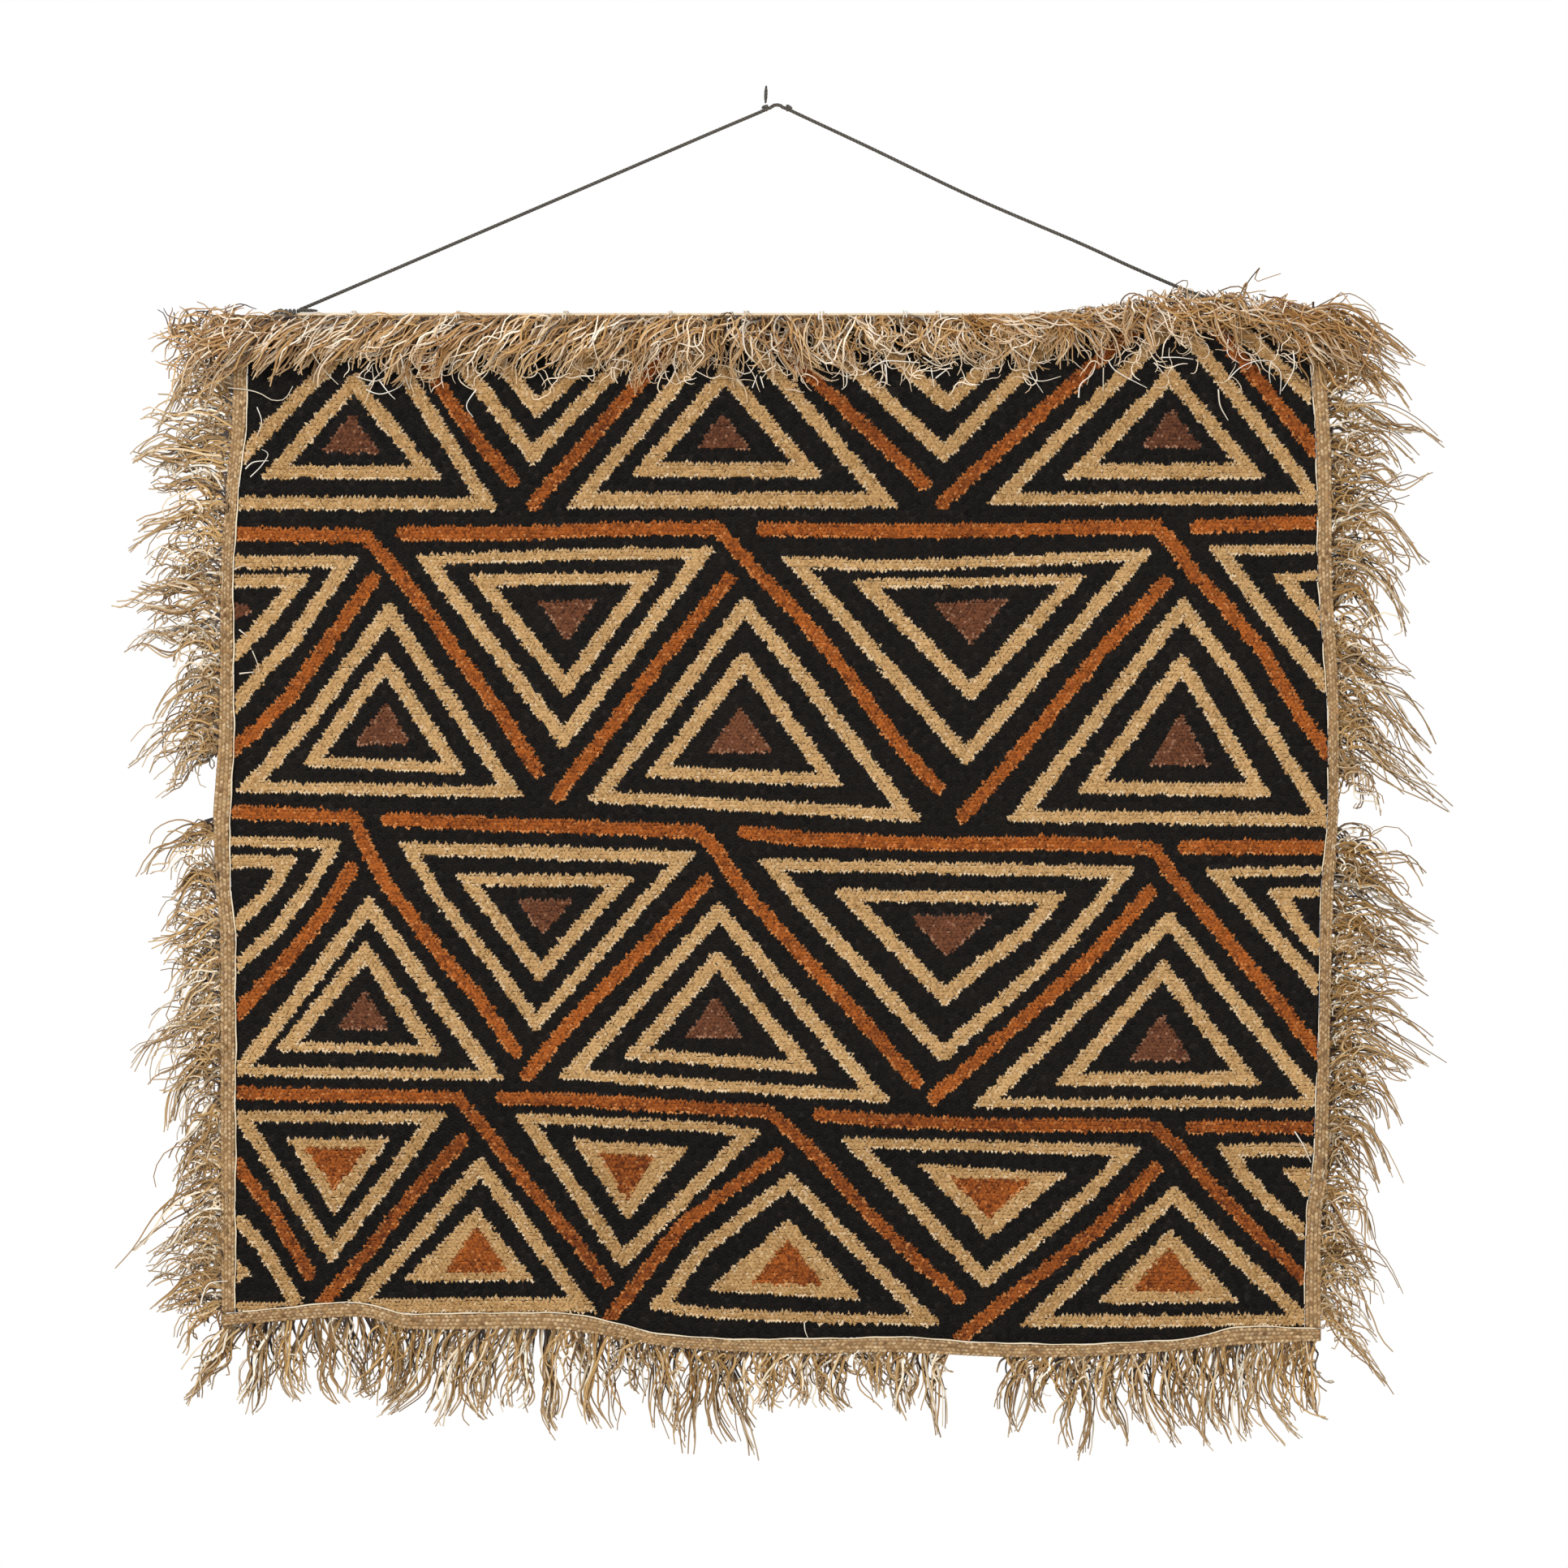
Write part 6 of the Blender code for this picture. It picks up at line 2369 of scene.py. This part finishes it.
@dataclass
class HangingCord:
    """The dark cord: its one long run, its knots, its free end and its two ties."""

    diameter: float = 2.3
    length: float = 0.657
    tie_turns: int = 4
    tie_pitch: float = 2.5
    left_tie_x: float = -300.0
    right_tie_x: float = 316.5

    @staticmethod
    def flat(route: Sequence[Sequence[float]]) -> Points:
        """Read a route of x and z pairs as a smooth path in space."""
        return smooth_path([(x, 0.0, z) for x, z in route], 1.5)

    def knot_path(self, x: float, z: float, size: float, tilt: float) -> Points:
        """Give the line of a pulled-tight knot.

        Args:
            x: its middle's x.
            z: its middle's z.
            size: its size.
            tilt: how far it is turned on the face plane.

        Returns:
            Points along its middle line.
        """
        t = np.linspace(0.15, 2.0 * math.pi - 0.15, 60)
        across, up = np.sin(t) + 2.0 * np.sin(2.0 * t), np.cos(t) - 2.0 * np.cos(2.0 * t)
        turned_x = across * math.cos(tilt) - up * math.sin(tilt)
        turned_z = across * math.sin(tilt) + up * math.cos(tilt)
        return np.stack((x + size * turned_x, -size * 1.1 * np.sin(3.0 * t), z + size * turned_z), axis=1)

    def tie_path(self, centre_x: float, lead: list[list[float]], trail: list[list[float]]) -> Points:
        """Give the line of a tie.

        Args:
            centre_x: the middle of its turns round the rod.
            lead: its points before the turns.
            trail: its points after the turns.

        Returns:
            Points along its middle line.
        """
        rod = Rod()
        reach = rod.radius + 0.3 + self.diameter / 2.0
        angles = np.linspace(0.0, 2.0 * math.pi * self.tie_turns, 14 * self.tie_turns)
        half = self.tie_turns * self.tie_pitch / 2.0
        x = centre_x - half + (2.0 * half) * angles / angles[-1]
        turns = np.stack((x, -reach * np.sin(angles), rod.z + reach * np.cos(angles)), axis=1)
        return smooth_path([*lead, *turns.tolist(), *trail], 1.0)

    def build(self) -> Thing:
        """Make the cord's pieces and give back its long run."""
        finish = CordFinish().material()
        rope = Rope(self.diameter / 2.0)
        run = self.flat(CORD_ROUTE)
        cord = finish_piece(
            new_object("hanging_cord", rope.mesh("hanging_cord", run)),
            ("cord_leg_left", "cord_leg_right", "cord_bridge"), finish,
        )
        left_tie = self.tie_path(self.left_tie_x, *LEFT_TIE)
        right_tie = self.tie_path(self.right_tie_x, *RIGHT_TIE)
        pulled = Rope(0.95)
        parts = (
            ("cord_end_at_knot", rope, self.flat(KNOT_TAIL), 0.5, "cord_tail"),
            ("apex_knot_left", pulled, self.knot_path(-6.0, -0.7, 0.53, 0.4), 0.0, "cord_knot_left"),
            ("apex_knot_right", pulled, self.knot_path(8.3, -0.8, 0.53, -0.5), 0.0, "cord_knot_right"),
            ("tie_left", rope, left_tie, 0.45, "cord_tie_left"),
            ("tie_right", rope, right_tie, 0.45, "cord_tie_right"),
        )
        pieces = [
            finish_piece(new_object(name, kind.mesh(name, route, taper)), (node,), finish)
            for name, kind, route, taper, node in parts
        ]
        return cord


# The stage


@dataclass
class Studio:
    """A pale floor, soft lights and the camera at the photograph's angle."""

    view_width: float = 0.966
    distance: float = 2.5
    face_y: float = -0.0105
    centre: Span = (0.0055, -0.419)
    sensor: float = 36.0
    floor_z: float = -1.5
    floor_half: float = 3.0

    def camera(self) -> None:
        """Set the camera square to the cloth."""
        data = bpy.data.cameras.new("front_camera")
        data.sensor_fit = "HORIZONTAL"
        data.sensor_width = self.sensor
        data.lens = self.sensor * (self.distance + self.face_y) / self.view_width
        eye = new_object("front_camera", data)
        eye.location = (self.centre[0], -self.distance, self.centre[1])
        eye.rotation_euler = (math.pi / 2.0, 0.0, 0.0)
        bpy.context.scene.camera = eye

    def floor(self) -> None:
        """Lay the floor."""
        mesh = bpy.data.meshes.new("floor")
        turn = ((-1.0, -1.0), (1.0, -1.0), (1.0, 1.0), (-1.0, 1.0))
        corners = [(self.floor_half * x, self.floor_half * y, self.floor_z) for x, y in turn]
        mesh.from_pydata(corners, [], [(0, 1, 2, 3)])
        material, build, shader = start_material("pale_floor")
        set_surface(build, shader, dye(226, 222, 214), 0.8, 0.2)
        mesh.materials.append(material)
        new_object("floor", mesh)

    def lamp(self, name: str, place: Spot, size: float, power: float) -> None:
        """Hang one soft lamp that faces the cloth.

        Args:
            name: its name.
            place: where it hangs, in metres.
            size: how wide it is.
            power: its power in watts.
        """
        data = bpy.data.lights.new(name, "AREA")
        data.shape = "DISK"
        data.size = size
        data.energy = power
        thing = new_object(name, data)
        thing.location = place
        aim = Vector((0.0, 0.0, self.centre[1])) - Vector(place)
        thing.rotation_euler = aim.to_track_quat("-Z", "Y").to_euler()

    def sky(self) -> None:
        """Light all round softly, and show white behind the cloth."""
        world = bpy.data.worlds.new("soft_white")
        world.use_nodes = True
        tree = world.node_tree
        tree.nodes.clear()
        lit, seen = tree.nodes.new("ShaderNodeBackground"), tree.nodes.new("ShaderNodeBackground")
        for light, strength in ((lit, 0.5), (seen, 1.0)):
            light.inputs["Color"].default_value = (1.0, 1.0, 1.0, 1.0)
            light.inputs["Strength"].default_value = strength
        mixed, path = tree.nodes.new("ShaderNodeMixShader"), tree.nodes.new("ShaderNodeLightPath")
        tree.links.new(path.outputs["Is Camera Ray"], mixed.inputs[0])
        tree.links.new(lit.outputs[0], mixed.inputs[1])
        tree.links.new(seen.outputs[0], mixed.inputs[2])
        tree.links.new(mixed.outputs[0], tree.nodes.new("ShaderNodeOutputWorld").inputs[0])
        bpy.context.scene.world = world

    def build(self) -> None:
        """Set the whole stage."""
        bpy.context.scene.view_settings.view_transform = "Standard"
        self.camera()
        self.floor()
        self.sky()
        self.lamp("key", (-1.7, -2.3, 1.1), 1.2, 62.0)
        self.lamp("fill", (1.9, -2.2, -0.1), 1.6, 24.0)
        self.lamp("back", (0.6, 2.6, 0.9), 1.6, 50.0)


def main() -> None:
    """Build the cloth, the rod and the cord, and set the stage."""
    logging.basicConfig(level=logging.INFO, format="%(name)s: %(message)s")
    Studio().build()
    HangingCord().build()
    Rod().build()
    ground = Ground().build()
    with_cloth = Pile().build()
    plait = PlaitFinish().material()
    with_cloth += [Binding(edge).build(plait) for edge in Edge]
    strands, threads = FRINGE_FINISH.material(), THREAD_FINISH.material()
    standing = FringeStyle(2.3)
    hanging = FringeStyle(
        2.0, half=(0.56, 0.9), tangled_share=0.5, tangled_curl=(2.4, 6.0), tangled_turns=(0.6, 1.6),
        curl=(1.8, 4.4), turns=(0.6, 1.6),
    )
    falling = FringeStyle(
        1.7, steps=11, half=(0.46, 0.72), tangled_share=0.3, tangled_reach=(0.24, 0.72),
        tangled_curl=(2.6, 7.0), tangled_turns=(0.8, 2.0), curl=(1.8, 4.6), turns=(0.7, 1.8),
        depth=(-1.6, 3.4),
    )
    fringes = (
        Fringe(Edge.LEFT, LEFT_LOCKS, standing, 61),
        Fringe(Edge.RIGHT, RIGHT_LOCKS, standing, 62),
        Fringe(Edge.BOTTOM, BOTTOM_LOCKS, hanging, 63),
        Fringe(Edge.TOP, TOP_LOCKS, falling, 64),
    )
    head = HEAD_FINISH.material()
    with_cloth += [fringe.build(head if fringe.edge is Edge.TOP else strands) for fringe in fringes]
    work, pale = ThreadWork(), EDGE_FINISH.material()
    with_cloth += [Hay().build(head), work.loose(threads), work.edging(pale), work.stitches(threads)]


if __name__ == "__main__":
    main()
